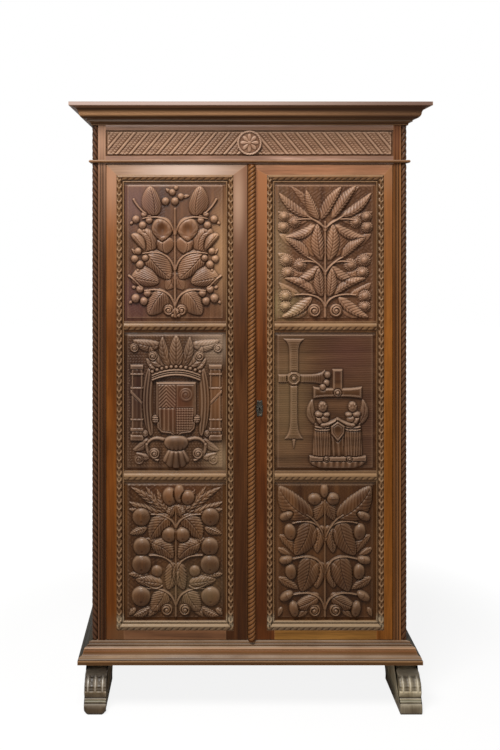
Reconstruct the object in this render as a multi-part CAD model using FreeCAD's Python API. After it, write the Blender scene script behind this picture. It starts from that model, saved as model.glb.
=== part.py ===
import FreeCAD, Part
import math
import os

# Carved two-door cupboard. Millimetres, +Z up, front towards -Y.
# The origin lies on the floor, midway across the width and the cornice depth.

os.makedirs("parts", exist_ok=True)
Vec = FreeCAD.Vector

# Fits
fit_clearance = 0.2  # each side of a tenon, tongue or bar in its hole
seat_clearance = 0.1  # round a pin or bush pressed in its hole
pivot_clearance = 0.05  # round the pin in its bush
overrun = 5.0  # how far a cut passes the face that it leaves

# Whole case
body_width = 1095.0
body_depth = 460.0
foot_height = 171.0
base_height = 66.0
opening_height = 1656.0
frieze_lower_height = 27.0
frieze_panel_height = 90.0
frieze_upper_show = 17.0
cornice_height = 73.0
cornice_overhang = 72.0
base_overhang = 45.0
ledge_drop = 14.0  # top of the ledge below the lower edge of the frieze panel
ledge_height = 10.0
ledge_overhang = 10.0

# Posts, and the rope columns in their outer corners
post_width = 47.5
post_depth = 45.0
rope_diameter = 21.0
reed_groove_width = 2.0
reed_groove_depth = 3.0
reed_first_offset = 29.0  # from the side of the body to the first groove
reed_spacing = 7.0

# Feet
foot_width = 76.0
foot_left_inset = 21.5  # from the end of the base to the foot's outer side
foot_right_inset = 1.5
foot_neck_recess = 52.0  # behind the front plane of the body
foot_arch_start = 215.0
foot_arch_length = 155.0
foot_arch_height = 45.0
foot_arch_radius = 30.0

# Outline of the foot's front: share of the reach from neck to toe, share of the height
foot_front_shares = [
    ("line", (0.0, 0.71)),
    ("line", (0.06, 0.71)),
    ("arc", (0.59, 0.69), (0.87, 0.54)),
    ("arc", (0.88, 0.41), (0.79, 0.29)),
    ("line", (0.85, 0.28)),
    ("line", (0.85, 0.245)),
    ("line", (0.89, 0.24)),
    ("line", (0.89, 0.2)),
    ("line", (0.97, 0.195)),
    ("arc", (1.0, 0.12), (1.0, 0.04)),
    ("line", (0.95, 0.0)),
]

# Outline of the base moulding: share of the overhang, share of the height
base_front_shares = [
    ("line", (0.2, 1.0)),
    ("line", (0.2, 0.88)),
    ("line", (0.32, 0.88)),
    ("line", (0.32, 0.81)),
    ("arc", (0.49, 0.77), (0.56, 0.64)),
    ("line", (0.6, 0.62)),
    ("arc", (0.63, 0.5), (0.73, 0.41)),
    ("arc", (0.9, 0.35), (0.93, 0.25)),
    ("line", (0.93, 0.2)),
    ("line", (1.0, 0.2)),
    ("line", (1.0, 0.0)),
]

# Outline of the cornice: share of the overhang, share of the height
cornice_front_shares = [
    ("line", (0.05, 0.0)),
    ("arc", (0.08, 0.11), (0.19, 0.15)),
    ("line", (0.22, 0.15)),
    ("line", (0.22, 0.27)),
    ("line", (0.28, 0.27)),
    ("arc", (0.49, 0.34), (0.57, 0.48)),
    ("arc", (0.66, 0.69), (0.92, 0.81)),
    ("line", (1.0, 0.83)),
    ("line", (1.0, 1.0)),
]

# Boards
floor_thickness = 18.0
top_thickness = 18.0
shelf_thickness = 20.0
back_thickness = 12.0
back_board_count = 5
back_lap = 8.0
back_rebate = 10.0
base_back_thickness = 25.0
cleat_size = 18.0
shelf_setback = 62.0

# Frames: thickness, place of the groove behind the face, and the joints
door_frame = {
    "thickness": 30.0, "groove_at": 13.0, "groove_width": 8.0, "groove_depth": 9.0,
    "tongue": 7.5, "tenon_length": 24.0, "shoulder": 10.0, "border": 18.0, "field_rise": 3.0,
}
side_frame = {
    "thickness": 25.0, "groove_at": 9.0, "groove_width": 8.0, "groove_depth": 9.0,
    "tongue": 7.5, "tenon_length": 18.0, "shoulder": 12.0, "border": 28.0, "field_rise": 3.0,
}
frieze_frame = {
    "thickness": 30.0, "groove_at": 10.0, "groove_width": 8.0, "groove_depth": 6.0,
    "tongue": 5.0, "tenon_length": 20.0, "shoulder": 7.0, "border": 7.0, "field_rise": 4.0,
}
side_bottom_height = 90.0
side_middle_height = 70.0
side_top_height = 205.0
medallion_thickness = 12.0
frieze_lip_drop = 18.0
frieze_lip_thickness = 20.0

# Doors
door_gap = 2.0  # at the posts and at the meeting line
door_end_gap = 3.0  # above and below
door_back_gap = 1.0  # to the floor board and the lip that stop it
door_swing_air = 2.5  # round the rear outer corner of a door as it turns
meeting_line = -7.0
hinge_face_left = 36.0  # bare width of a stile beside its moulding
hinge_face_right = 31.0
meeting_face_left = 48.0
meeting_face_right = 67.0
moulding_width = 26.0
moulding_seat = 8.0
moulding_rise = 4.0
top_rail_face = 36.0
top_moulding_height = 26.0
middle_rail_height = 38.0
bottom_moulding_height = 31.0
bottom_rail_face = 31.5
stile_edge_radius = 3.0

# Outline of a carved moulding: share of its width, share of its seat depth below the door's face
moulding_shares = [
    ("line", (0.0, 0.25)),
    ("arc", (0.34, None), (0.7, 0.25)),
    ("line", (0.7, 0.45)),
    ("line", (1.0, 0.65)),
    ("line", (1.0, 1.0)),
]
middle_moulding_shares = [
    ("line", (0.0, 0.6)),
    ("line", (0.18, 0.4)),
    ("arc", (0.5, None), (0.82, 0.4)),
    ("line", (1.0, 0.6)),
    ("line", (1.0, 1.0)),
]

# Rope-carved strip over the meeting line
astragal_width = 27.0
astragal_side = 8.5
astragal_reach = 22.0

# Pivots
pivot_inset = 16.0
pivot_depth = 9.0
pivot_radius = 4.0
pivot_bite = 10.0
bush_radius = 6.0
bush_length = 12.0
pivot_air = 0.3  # over the upper bushes

# Lock in the right door
keyhole_height = 806.0  # above the lower edge of the opening
keyhole_inset = 42.0  # from the meeting line
keyhole_radius = 3.2
keyhole_slot_width = 3.0
keyhole_slot_drop = 9.0
lock_width = 50.0
lock_height = 70.0
lock_depth = 14.0
lock_below_keyhole = 25.0
bolt_above_keyhole = 20.0
bolt_length = 38.0
bolt_height = 22.0
bolt_thickness = 8.0
bolt_setback = 0.5
bolt_play = 0.3
bolt_end_play = 2.5
bolt_pocket_depth = 16.0
bolt_pocket_play = 1.0
escutcheon_width = 25.0
escutcheon_height = 60.0
escutcheon_thickness = 2.0
escutcheon_lobe_radius = 7.0

# Surface bolts on the left door
rod_width = 10.0
rod_thickness = 5.0
rod_length = 102.0
rod_inset = 25.0  # from the meeting edge to the middle of the rod
rod_air = 3.0  # from the tip to the lip or floor
rod_lift = 2.0  # from the plate to the rod
guide_plate_width = 22.0
guide_plate_length = 120.0
guide_plate_thickness = 2.5
guide_height = 10.0
guide_depth = 9.0
guide_end = 6.0
knob_radius = 5.0
knob_length = 9.0
keep_depth = 17.0
keep_play = 1.0

# Levels and planes that follow from the sizes above
total_depth = body_depth + cornice_overhang
front_y = cornice_overhang - total_depth / 2
back_y = total_depth / 2
half_body = body_width / 2
half_opening = half_body - post_width
base_bottom = foot_height
base_top = base_bottom + base_height
opening_top = base_top + opening_height
frieze_bottom = opening_top + frieze_lower_height
frieze_top = frieze_bottom + frieze_panel_height
cornice_bottom = frieze_top + frieze_upper_show
total_height = cornice_bottom + cornice_height
case_top = total_height - top_thickness
ledge_top = frieze_bottom - ledge_drop
ledge_bottom = ledge_top - ledge_height
door_bottom = base_top + door_end_gap
door_top = opening_top - door_end_gap
door_height = door_top - door_bottom
door_back = door_frame["thickness"] + door_back_gap
lip_bottom = opening_top - frieze_lip_drop
floor_top = base_top + floor_thickness
moulding_low = door_bottom + bottom_rail_face
moulding_high = door_top - top_rail_face
panels_low = moulding_low + bottom_moulding_height
panels_high = moulding_high - top_moulding_height
panel_height = (panels_high - panels_low - 2 * middle_rail_height) / 3
panel_pitch = panel_height + middle_rail_height
middle_centres = [panels_low + (row + 1) * panel_pitch - middle_rail_height / 2 for row in range(2)]


def box(x0, x1, y0, y1, z0, z1):
    return Part.makeBox(x1 - x0, y1 - y0, z1 - z0, Vec(x0, y0, z0))


def rod(x, y, z0, z1, radius):
    return Part.makeCylinder(radius, z1 - z0, Vec(x, y, z0))


def mirrored(shape):
    return shape.mirror(Vec(0, 0, 0), Vec(1, 0, 0))


def moved(shape, x=0.0, y=0.0, z=0.0):
    copy = shape.copy()
    copy.translate(Vec(x, y, z))
    return copy


def outline(place, start, moves):
    """A closed face. Each move is a straight line or an arc; place turns (a, b) into a point."""
    edges = []
    here = place(*start)
    for move in moves:
        there = place(*move[-1])
        if move[0] == "line":
            edges.append(Part.makeLine(here, there))
        else:
            edges.append(Part.Arc(here, place(*move[1]), there).toShape())
        here = there
    edges.append(Part.makeLine(here, place(*start)))
    return Part.Face(Part.Wire(edges))


def scaled_moves(moves, width, height, left=0.0, low=0.0):
    """A table of shares turned into lengths."""
    def size(point):
        return (left + point[0] * width, low + point[1] * height)
    return [(move[0],) + tuple(size(point) for point in move[1:]) for move in moves]


def mitre_wedge(side, outward, z0, z1):
    """The space past the 45 degree plane at a front corner of the body."""
    reach = body_depth
    corner = Vec(side * half_body, front_y, z0)
    far = corner + Vec(side * reach, -reach, 0)
    near = corner + Vec(-side * reach, reach, 0)
    third = Vec(far.x, near.y, z0) if outward else Vec(near.x, far.y, z0)
    wire = Part.makePolygon([far, near, third, far])
    return Part.Face(wire).extrude(Vec(0, 0, z1 - z0))


def mitred_set(start, moves, z0, z1):
    """A moulding round the front and the two sides: front, left and right sticks."""
    span = half_body + base_overhang + cornice_overhang

    def on_front(out, height):
        return Vec(-span, front_y - out, height)

    def on_right(out, height):
        return Vec(half_body + out, front_y - cornice_overhang - overrun, height)

    front = outline(on_front, start, moves).extrude(Vec(2 * span, 0, 0))
    for side in (-1, 1):
        front = front.cut(mitre_wedge(side, True, z0 - overrun, z1 + overrun))
    right = outline(on_right, start, moves).extrude(Vec(0, total_depth + overrun, 0))
    right = right.cut(mitre_wedge(1, False, z0 - overrun, z1 + overrun))
    return front, mirrored(right), right


def rail(spec, u0, u1, z0, z1, groove_low=False, groove_high=False):
    """A rail of a frame, its face at y = 0, with a tenon at each end and grooves for panels."""
    low = spec["groove_at"]
    high = low + spec["groove_width"]
    solid = box(u0, u1, 0, spec["thickness"], z0, z1)
    tenons = box(u0 - spec["tenon_length"], u1 + spec["tenon_length"], low, high,
                 z0 + spec["shoulder"], z1 - spec["shoulder"])
    solid = solid.fuse(tenons).removeSplitter()
    for wanted, edge, way in ((groove_low, z0, 1), (groove_high, z1, -1)):
        if wanted:
            ends = sorted((edge - way * overrun, edge + way * spec["groove_depth"]))
            solid = solid.cut(box(u0 - overrun, u1 + overrun, low - fit_clearance,
                                  high + fit_clearance, ends[0], ends[1]))
    return solid


def joint_cuts(spec, edge, way, rails, groove_ends):
    """The groove and mortises in an upright's edge. The cuts reach from the edge along way."""
    low = spec["groove_at"] - fit_clearance
    high = spec["groove_at"] + spec["groove_width"] + fit_clearance
    cuts = []
    for z0, z1 in rails:
        ends = sorted((edge - way * overrun, edge + way * (spec["tenon_length"] + fit_clearance)))
        cuts.append(box(ends[0], ends[1], low, high, z0 + spec["shoulder"] - fit_clearance,
                        z1 - spec["shoulder"] + fit_clearance))
    ends = sorted((edge - way * overrun, edge + way * spec["groove_depth"]))
    cuts.append(box(ends[0], ends[1], low, high, groove_ends[0], groove_ends[1]))
    return cuts


def cut_all(solid, tools):
    for tool in tools:
        solid = solid.cut(tool)
    return solid


def panel(spec, u0, u1, z0, z1):
    """A panel for the opening u0..u1, z0..z1: a tongue all round and a raised field."""
    low = spec["groove_at"]
    tongue = spec["tongue"]
    border = spec["border"]
    board = box(u0 - tongue, u1 + tongue, low, low + spec["groove_width"], z0 - tongue, z1 + tongue)
    field = box(u0 + border, u1 - border, low - spec["field_rise"], low, z0 + border, z1 - border)
    return board.fuse(field).removeSplitter()


def make_foot(x0):
    """A runner from the fluted scroll at the front to the back, with an arch under its middle."""
    toe = front_y - base_overhang
    neck = front_y + foot_neck_recess
    reach = neck - toe
    x1 = x0 + foot_width

    def place(back, height):
        return Vec(x0, neck - back, height)

    start = (neck - back_y, 0.0)
    rise = [("line", (neck - back_y, foot_height)), ("line", (0.0, foot_height))]
    front = scaled_moves(foot_front_shares, reach, foot_height)
    solid = outline(place, start, rise + front).extrude(Vec(foot_width, 0, 0))
    arch0 = front_y + foot_arch_start
    arch = box(x0 - overrun, x1 + overrun, arch0, arch0 + foot_arch_length, -overrun, foot_arch_height)
    tops = [edge for edge in arch.Edges
            if all(abs(v.Point.z - foot_arch_height) < fit_clearance for v in edge.Vertexes)
            and abs(edge.Vertexes[0].Point.y - edge.Vertexes[1].Point.y) < fit_clearance]
    return solid.cut(arch.makeFillet(foot_arch_radius, tops))


def make_base():
    inner = -post_width
    moves = [("line", (inner, base_top))]
    moves += scaled_moves(base_front_shares, base_overhang, base_height, low=base_bottom)
    front, left, right = mitred_set((inner, base_bottom), moves, base_bottom, base_top)
    for side in (-1, 1):
        x, y = pivot_place(side)
        front = front.cut(rod(x, y, base_top - pivot_bite, base_top + overrun,
                              pivot_radius + seat_clearance))
    back = box(-half_opening, half_opening, back_y - base_back_thickness, back_y, base_bottom, base_top)
    return front, left, right, back


def pivot_place(side):
    edge = half_opening - door_gap
    return side * (edge - pivot_inset), front_y + pivot_depth


def swing_relief(side, z0, z1):
    """The space that the rear outer corner of a door sweeps, for the pieces behind it."""
    x, y = pivot_place(side)
    corner = math.hypot(pivot_inset, door_frame["thickness"] - pivot_depth)
    return rod(x, y, z0, z1, corner + door_swing_air)


def side_levels():
    """Lower and upper edges of the rails in a side frame, from the floor up."""
    levels = [(base_top, base_top + side_bottom_height)]
    for centre in middle_centres:
        levels.append((centre - side_middle_height / 2, centre + side_middle_height / 2))
    levels.append((case_top - side_top_height, case_top))
    return levels


def make_side():
    """Rails and panels of the left side. They are drawn facing -Y, then turned to face -X."""
    length = body_depth - 2 * post_depth
    levels = side_levels()
    rails = []
    for index, (z0, z1) in enumerate(levels):
        rails.append(rail(side_frame, 0, length, z0, z1, index > 0, index < len(levels) - 1))
    panels = []
    for lower, upper in zip(levels, levels[1:]):
        panels.append(panel(side_frame, 0, length, lower[1], upper[0]))
    return ([turned_left(solid, back_y - post_depth) for solid in rails],
            [turned_left(solid, back_y - post_depth) for solid in panels])


def turned_left(shape, y):
    copy = shape.copy()
    copy.rotate(Vec(0, 0, 0), Vec(0, 0, 1), -90)
    copy.translate(Vec(-half_body, y, 0))
    return copy


def make_posts():
    """Left front post and left back post."""
    front = box(-half_body, -half_opening, front_y, front_y + post_depth, base_top, case_top)
    nook = rope_diameter + fit_clearance
    for z0, z1 in ((base_top - overrun, ledge_bottom), (ledge_top, case_top + overrun)):
        front = front.cut(box(-half_body - overrun, -half_body + nook, front_y - overrun,
                              front_y + nook, z0, z1))
    for index in range(2):
        x0 = -half_body + reed_first_offset + index * reed_spacing
        front = front.cut(box(x0, x0 + reed_groove_width, front_y - overrun,
                              front_y + reed_groove_depth, base_top - overrun, ledge_bottom))
    levels = side_levels()
    length = body_depth - 2 * post_depth
    ends = (levels[0][0] + side_frame["shoulder"], case_top - side_frame["shoulder"])
    for tool in joint_cuts(side_frame, length, 1, levels, ends):
        front = front.cut(turned_left(tool, back_y - post_depth))
    frieze_rails = [(opening_top, frieze_bottom), (frieze_top, case_top)]
    ends = (frieze_bottom - frieze_frame["groove_depth"], frieze_top + frieze_frame["groove_depth"])
    for tool in joint_cuts(frieze_frame, -half_opening, -1, frieze_rails, ends):
        front = front.cut(moved(tool, y=front_y))

    back = box(-half_body, -half_opening, back_y - post_depth, back_y, base_top, case_top)
    ends = (levels[0][0] + side_frame["shoulder"], case_top - side_frame["shoulder"])
    for tool in joint_cuts(side_frame, 0, -1, levels, ends):
        back = back.cut(turned_left(tool, back_y - post_depth))
    back = back.cut(box(-half_opening - back_rebate, -half_opening + overrun,
                        back_y - back_thickness - fit_clearance, back_y + overrun,
                        base_top - overrun, case_top + overrun))
    return front, back


def make_rope(z0, z1):
    radius = rope_diameter / 2
    return rod(-half_body + radius, front_y + radius, z0, z1, radius)


def make_back_boards():
    """Upright boards, each lapped over the next by half its thickness."""
    left = -half_opening - back_rebate + fit_clearance
    pitch = -2 * left / back_board_count
    boards = []
    for index in range(back_board_count):
        x0 = left + index * pitch
        x1 = x0 + pitch - fit_clearance
        inner = box(x0, x1, back_y - back_thickness, back_y - back_thickness / 2, base_top, case_top)
        first = index == 0
        last = index == back_board_count - 1
        outer = box(x0 if first else x0 + back_lap + fit_clearance, x1 if last else x1 + back_lap,
                    back_y - back_thickness / 2, back_y, base_top, case_top)
        boards.append(inner.fuse(outer).removeSplitter())
    return boards


def make_board(z0, z1, front, back):
    """A level board between the side frames, notched round the posts."""
    reach = half_body - side_frame["thickness"]
    board = box(-reach, reach, front_y + front, back, z0, z1)
    post_notch = half_opening - fit_clearance
    notches = []
    for side in (-1, 1):
        x0, x1 = sorted((side * post_notch, side * (reach + overrun)))
        notches.append(box(x0, x1, front_y - overrun, front_y + post_depth + fit_clearance,
                           z0 - overrun, z1 + overrun))
        notches.append(box(x0, x1, back_y - post_depth - fit_clearance, back_y + overrun,
                           z0 - overrun, z1 + overrun))
    return cut_all(board, notches)


def make_floor():
    board = make_board(base_top, floor_top, door_back, back_y - back_thickness)
    for side in (-1, 1):
        board = board.cut(swing_relief(side, base_top - overrun, floor_top + overrun))
    return board.cut(rod_keep(base_top - overrun, floor_top + overrun))


def rod_keep(z0, z1):
    """The hole for a surface bolt's tip."""
    x, y = rod_place()
    half_width = rod_width / 2 + keep_play
    half_depth = rod_thickness / 2 + keep_play
    return box(x - half_width, x + half_width, y - half_depth, y + half_depth, z0, z1)


def rod_place():
    x = meeting_line - door_gap / 2 - rod_inset
    y = front_y + door_frame["thickness"] + guide_plate_thickness + rod_lift + rod_thickness / 2
    return x, y


def make_shelf(centre):
    half = shelf_thickness / 2
    return make_board(centre - half, centre + half, shelf_setback, back_y - back_thickness)


def make_cleats():
    """Strips on the middle rails of the sides, under the ends of the shelves."""
    wall = half_body - side_frame["thickness"]
    cleats = []
    for centre in middle_centres:
        top = centre - shelf_thickness / 2
        for side in (-1, 1):
            x0, x1 = sorted((side * wall, side * (wall - cleat_size)))
            cleats.append(box(x0, x1, front_y + shelf_setback, back_y - post_depth - fit_clearance,
                              top - cleat_size, top))
    return cleats


def make_frieze():
    """Lower rail with the lip that stops the doors, upper rail, panel and medallion."""
    width = 2 * half_opening
    lower = rail(frieze_frame, 0, width, opening_top, frieze_bottom, groove_high=True)
    upper = rail(frieze_frame, 0, width, frieze_top, case_top, groove_low=True)
    middle = panel(frieze_frame, 0, width, frieze_bottom, frieze_top)
    lower, upper, middle = [moved(solid, -half_opening, front_y) for solid in (lower, upper, middle)]
    lip = box(-half_opening, half_opening, front_y + door_back,
              front_y + door_back + frieze_lip_thickness, lip_bottom, frieze_bottom)
    bridge = box(-half_opening, half_opening, front_y + frieze_frame["thickness"],
                 front_y + door_back, opening_top, frieze_bottom)
    lower = lower.fuse([lip, bridge]).removeSplitter()
    for side in (-1, 1):
        x, y = pivot_place(side)
        lower = lower.cut(rod(x, y, opening_top - overrun, opening_top + pivot_bite,
                              pivot_radius + seat_clearance))
        lower = lower.cut(swing_relief(side, lip_bottom - overrun, opening_top))
    lower = lower.cut(rod_keep(lip_bottom - overrun, lip_bottom + keep_depth))
    face = front_y + frieze_frame["groove_at"] - frieze_frame["field_rise"]
    radius = frieze_panel_height / 2 - frieze_frame["border"] / 4
    centre = Vec(0, face - medallion_thickness, (frieze_bottom + frieze_top) / 2)
    medallion = Part.makeCylinder(radius, medallion_thickness, centre, Vec(0, 1, 0))
    return lower, upper, middle, medallion


def make_ledge():
    """The thin nosing under the frieze, round the front and the sides."""
    flat = ledge_overhang - ledge_height / 2
    moves = [
        ("line", (flat, ledge_bottom)),
        ("arc", (ledge_overhang, (ledge_bottom + ledge_top) / 2), (flat, ledge_top)),
        ("line", (0.0, ledge_top)),
    ]
    return mitred_set((0.0, ledge_bottom), moves, ledge_bottom, ledge_top)


def make_cornice():
    moves = scaled_moves(cornice_front_shares, cornice_overhang, cornice_height, low=cornice_bottom)
    moves.append(("line", (0.0, total_height)))
    return mitred_set((0.0, cornice_bottom), moves, cornice_bottom, total_height)


def make_pivots():
    """Shouldered pins: the lower two stand in the base, the upper two hang from the frieze."""
    pins = []
    for side in (-1, 1):
        x, y = pivot_place(side)
        low = rod(x, y, base_top - pivot_bite, door_bottom + pivot_bite, pivot_radius)
        pins.append(low.fuse(rod(x, y, base_top, door_bottom, bush_radius)))
        high = rod(x, y, door_top - pivot_bite, opening_top + pivot_bite, pivot_radius)
        pins.append(high.fuse(rod(x, y, door_top + pivot_air, opening_top, bush_radius)))
    return pins


def moulding_section(place, shares, width):
    """The section of a carved moulding over its seat. The arc's top stands moulding_rise proud."""
    def depth(share):
        return -moulding_rise if share is None else share * moulding_seat

    moves = []
    for move in shares:
        moves.append((move[0],) + tuple((point[0] * width, depth(point[1])) for point in move[1:]))
    return outline(place, (0.0, moulding_seat), moves)


def slab_over(corners, y0, y1):
    """The solid over a polygon of (x, z) corners, from y0 to y1."""
    points = [Vec(x, y0, z) for x, z in corners]
    return Part.Face(Part.makePolygon(points + points[:1])).extrude(Vec(0, y1 - y0, 0))


def past_mitre(outer, inner, way):
    """The space past the mitre from an outer to an inner corner, on the side that way points to."""
    run = (inner[0] - outer[0], inner[1] - outer[1])
    reach = moulding_width + bottom_moulding_height
    start = (outer[0] - run[0], outer[1] - run[1])
    end = (inner[0] + run[0], inner[1] + run[1])
    corners = [start, end, (end[0] + way[0] * reach, end[1] + way[1] * reach),
               (start[0] + way[0] * reach, start[1] + way[1] * reach)]
    return slab_over(corners, -moulding_rise - overrun, moulding_seat + overrun)


def make_mouldings(inner0, inner1):
    """Two upright and four level strips round the panels, mitred where they meet at a corner.

    The panels lie between inner0 and inner1.
    """
    length = moulding_high - moulding_low
    outer0 = inner0 - moulding_width
    outer1 = inner1 + moulding_width
    strips = []
    for outer, inner, way in ((outer0, inner0, 1), (outer1, inner1, -1)):
        def upright(across, depth, outer=outer, way=way):
            return Vec(outer + way * across, depth, moulding_low)
        strip = moulding_section(upright, moulding_shares, moulding_width).extrude(Vec(0, 0, length))
        strip = strip.cut(past_mitre((outer, moulding_high), (inner, panels_high), (0, 1)))
        strips.append(strip.cut(past_mitre((outer, moulding_low), (inner, panels_low), (0, -1))))

    def level_strip(x0, x1, edge, way, shares, height):
        def level(across, depth):
            return Vec(x0, depth, edge + way * across)
        return moulding_section(level, shares, height).extrude(Vec(x1 - x0, 0, 0))

    for edge, panel_edge, way, height in ((moulding_high, panels_high, -1, top_moulding_height),
                                          (moulding_low, panels_low, 1, bottom_moulding_height)):
        strip = level_strip(outer0, outer1, edge, way, moulding_shares, height)
        strip = strip.cut(past_mitre((outer0, edge), (inner0, panel_edge), (-1, 0)))
        strips.append(strip.cut(past_mitre((outer1, edge), (inner1, panel_edge), (1, 0))))
    for centre in middle_centres:
        strips.append(level_strip(inner0, inner1, centre - middle_rail_height / 2, 1,
                                  middle_moulding_shares, middle_rail_height))
    return strips


def mitred_lap(edge, outer, inner):
    """The part of a stile's top end that the top rail laps: past the mitre, as deep as the seat."""
    return slab_over([(outer, moulding_high), (edge, door_top), (edge, door_top + overrun),
                      (inner, door_top + overrun), (inner, moulding_high)], -overrun, moulding_seat)


def make_stile(x0, x1, round_edge):
    """An upright of a door, full height. round_edge names the edge that swings past the post."""
    thick = door_frame["thickness"]
    if not round_edge:
        return box(x0, x1, 0, thick, door_bottom, door_top)

    def place(across, depth):
        return Vec(x0 + across, depth, door_bottom)

    radius = stile_edge_radius
    middle = radius * (1 - 2 ** -0.5)
    moves = [
        ("line", (0.0, radius)),
        ("arc", (middle, middle), (radius, 0.0)),
        ("line", (x1 - x0, 0.0)),
        ("line", (x1 - x0, thick)),
    ]
    return outline(place, (0.0, thick), moves).extrude(Vec(0, 0, door_height))


def make_door(width, hinge_face, meeting_face):
    """A door's pieces, drawn from its hinge edge at x = 0, its face at y = 0."""
    outer0 = hinge_face
    inner0 = outer0 + moulding_width
    outer1 = width - meeting_face
    inner1 = outer1 - moulding_width
    thick = door_frame["thickness"]
    middle_levels = [(c - middle_rail_height / 2, c + middle_rail_height / 2) for c in middle_centres]
    levels = [(door_bottom, panels_low)] + middle_levels + [(panels_high, door_top)]

    rails = []
    for index, (z0, z1) in enumerate(levels):
        solid = rail(door_frame, inner0, inner1, z0, z1, index > 0, index < len(levels) - 1)
        seat0 = max(z0, moulding_low)
        seat1 = min(z1, moulding_high)
        rails.append(solid.cut(box(inner0 - overrun, inner1 + overrun, -overrun, moulding_seat,
                                   seat0 - (overrun if seat0 > moulding_low else 0),
                                   seat1 + (overrun if seat1 < moulding_high else 0))))

    shoulder = door_frame["shoulder"]
    ends = (door_bottom + shoulder, door_top - shoulder)
    hinge = make_stile(0.0, inner0, True)
    hinge = cut_all(hinge, joint_cuts(door_frame, inner0, -1, levels, ends))
    hinge = hinge.cut(box(outer0, inner0 + overrun, -overrun, moulding_seat, moulding_low, moulding_high))
    meeting = make_stile(inner1, width, False)
    meeting = cut_all(meeting, joint_cuts(door_frame, inner1, 1, levels, ends))
    meeting = meeting.cut(box(inner1 - overrun, outer1, -overrun, moulding_seat,
                              moulding_low, moulding_high))
    hinge_lap = mitred_lap(0.0, outer0, inner0)
    meeting_lap = mitred_lap(width, outer1, inner1)
    top = rails[3].fuse([hinge.common(hinge_lap), meeting.common(meeting_lap)]).removeSplitter()
    hinge = hinge.cut(hinge_lap)
    meeting = meeting.cut(meeting_lap)
    bushes = []
    for z0, z1 in ((door_bottom, door_bottom + bush_length), (door_top - bush_length, door_top)):
        hole = rod(pivot_inset, pivot_depth, z0 - overrun * (z0 == door_bottom),
                   z1 + overrun * (z1 == door_top), bush_radius + seat_clearance)
        hinge = hinge.cut(hole)
        top = top.cut(hole)
        bush = rod(pivot_inset, pivot_depth, z0, z1, bush_radius)
        bushes.append(bush.cut(rod(pivot_inset, pivot_depth, z0 - overrun, z1 + overrun,
                                   pivot_radius + pivot_clearance)))
    panels = [panel(door_frame, inner0, inner1, lower[1], upper[0])
              for lower, upper in zip(levels, levels[1:])]
    return {
        "stile_hinge": [hinge], "stile_meeting": [meeting],
        "rail_bottom": [rails[0]], "rails_middle": rails[1:3], "rail_top": [top],
        "panel_bottom": [panels[0]], "panel_middle": [panels[1]], "panel_top": [panels[2]],
        "mouldings": make_mouldings(inner0, inner1), "pivot_bushes": bushes,
    }


def keyhole(y0, y1):
    """A keyhole through y0..y1: a round hole with a slot below it."""
    x = meeting_line + keyhole_inset
    z = base_top + keyhole_height
    round_hole = Part.makeCylinder(keyhole_radius, y1 - y0, Vec(x, y0, z), Vec(0, 1, 0))
    half = keyhole_slot_width / 2
    return round_hole.fuse(box(x - half, x + half, y0, y1, z - keyhole_slot_drop, z))


def bolt_box(play, x0, x1):
    """The space of the lock's bolt between x0 and x1, with play round it."""
    z = base_top + keyhole_height + bolt_above_keyhole
    y = front_y + door_frame["thickness"] - lock_depth / 2
    half_height = bolt_height / 2 + play
    half_thickness = bolt_thickness / 2 + play
    return box(x0, x1, y - half_thickness, y + half_thickness, z - half_height, z + half_height)


def make_lock(edge):
    """Lock case let into the back of the right meeting stile, and its bolt. edge is the stile's."""
    low = base_top + keyhole_height - lock_below_keyhole
    back = front_y + door_frame["thickness"]
    case = box(edge, edge + lock_width, back - lock_depth, back, low, low + lock_height)
    recess = box(edge - overrun, edge + lock_width, back - lock_depth, back + overrun,
                 low, low + lock_height)
    tip = edge + bolt_setback
    case = case.cut(bolt_box(bolt_play, edge - overrun, tip + bolt_length + bolt_end_play))
    case = case.cut(keyhole(back - lock_depth - overrun, back - lock_depth / 2))
    return case, recess, bolt_box(0, tip, tip + bolt_length)


def make_escutcheon():
    """A small oval plate with a lobe above and below, and the keyhole through it."""
    x = meeting_line + keyhole_inset
    z = base_top + keyhole_height
    y = front_y - escutcheon_thickness
    lobe_offset = escutcheon_height / 2 - escutcheon_lobe_radius
    half_width = escutcheon_width / 2
    points = [Vec(x, y, z + lobe_offset), Vec(x + half_width, y, z), Vec(x, y, z - lobe_offset)]
    right = Part.Arc(*points).toShape()
    left = Part.Arc(points[2], Vec(x - half_width, y, z), points[0]).toShape()
    plate = Part.Face(Part.Wire([right, left])).extrude(Vec(0, escutcheon_thickness, 0))
    for way in (-1, 1):
        plate = plate.fuse(Part.makeCylinder(escutcheon_lobe_radius, escutcheon_thickness,
                                             Vec(x, y, z + way * lobe_offset), Vec(0, 1, 0)))
    return plate.removeSplitter().cut(keyhole(y - overrun, front_y + overrun))


def make_astragal(edge):
    """The rope strip: a flat back on the stile, short sides and a round front."""
    def place(across, out):
        return Vec(edge + across, front_y - out, door_bottom)

    moves = [
        ("line", (0.0, astragal_side)),
        ("arc", (astragal_width / 2, astragal_reach), (astragal_width, astragal_side)),
        ("line", (astragal_width, 0.0)),
    ]
    return outline(place, (0.0, 0.0), moves).extrude(Vec(0, 0, door_height))


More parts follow.
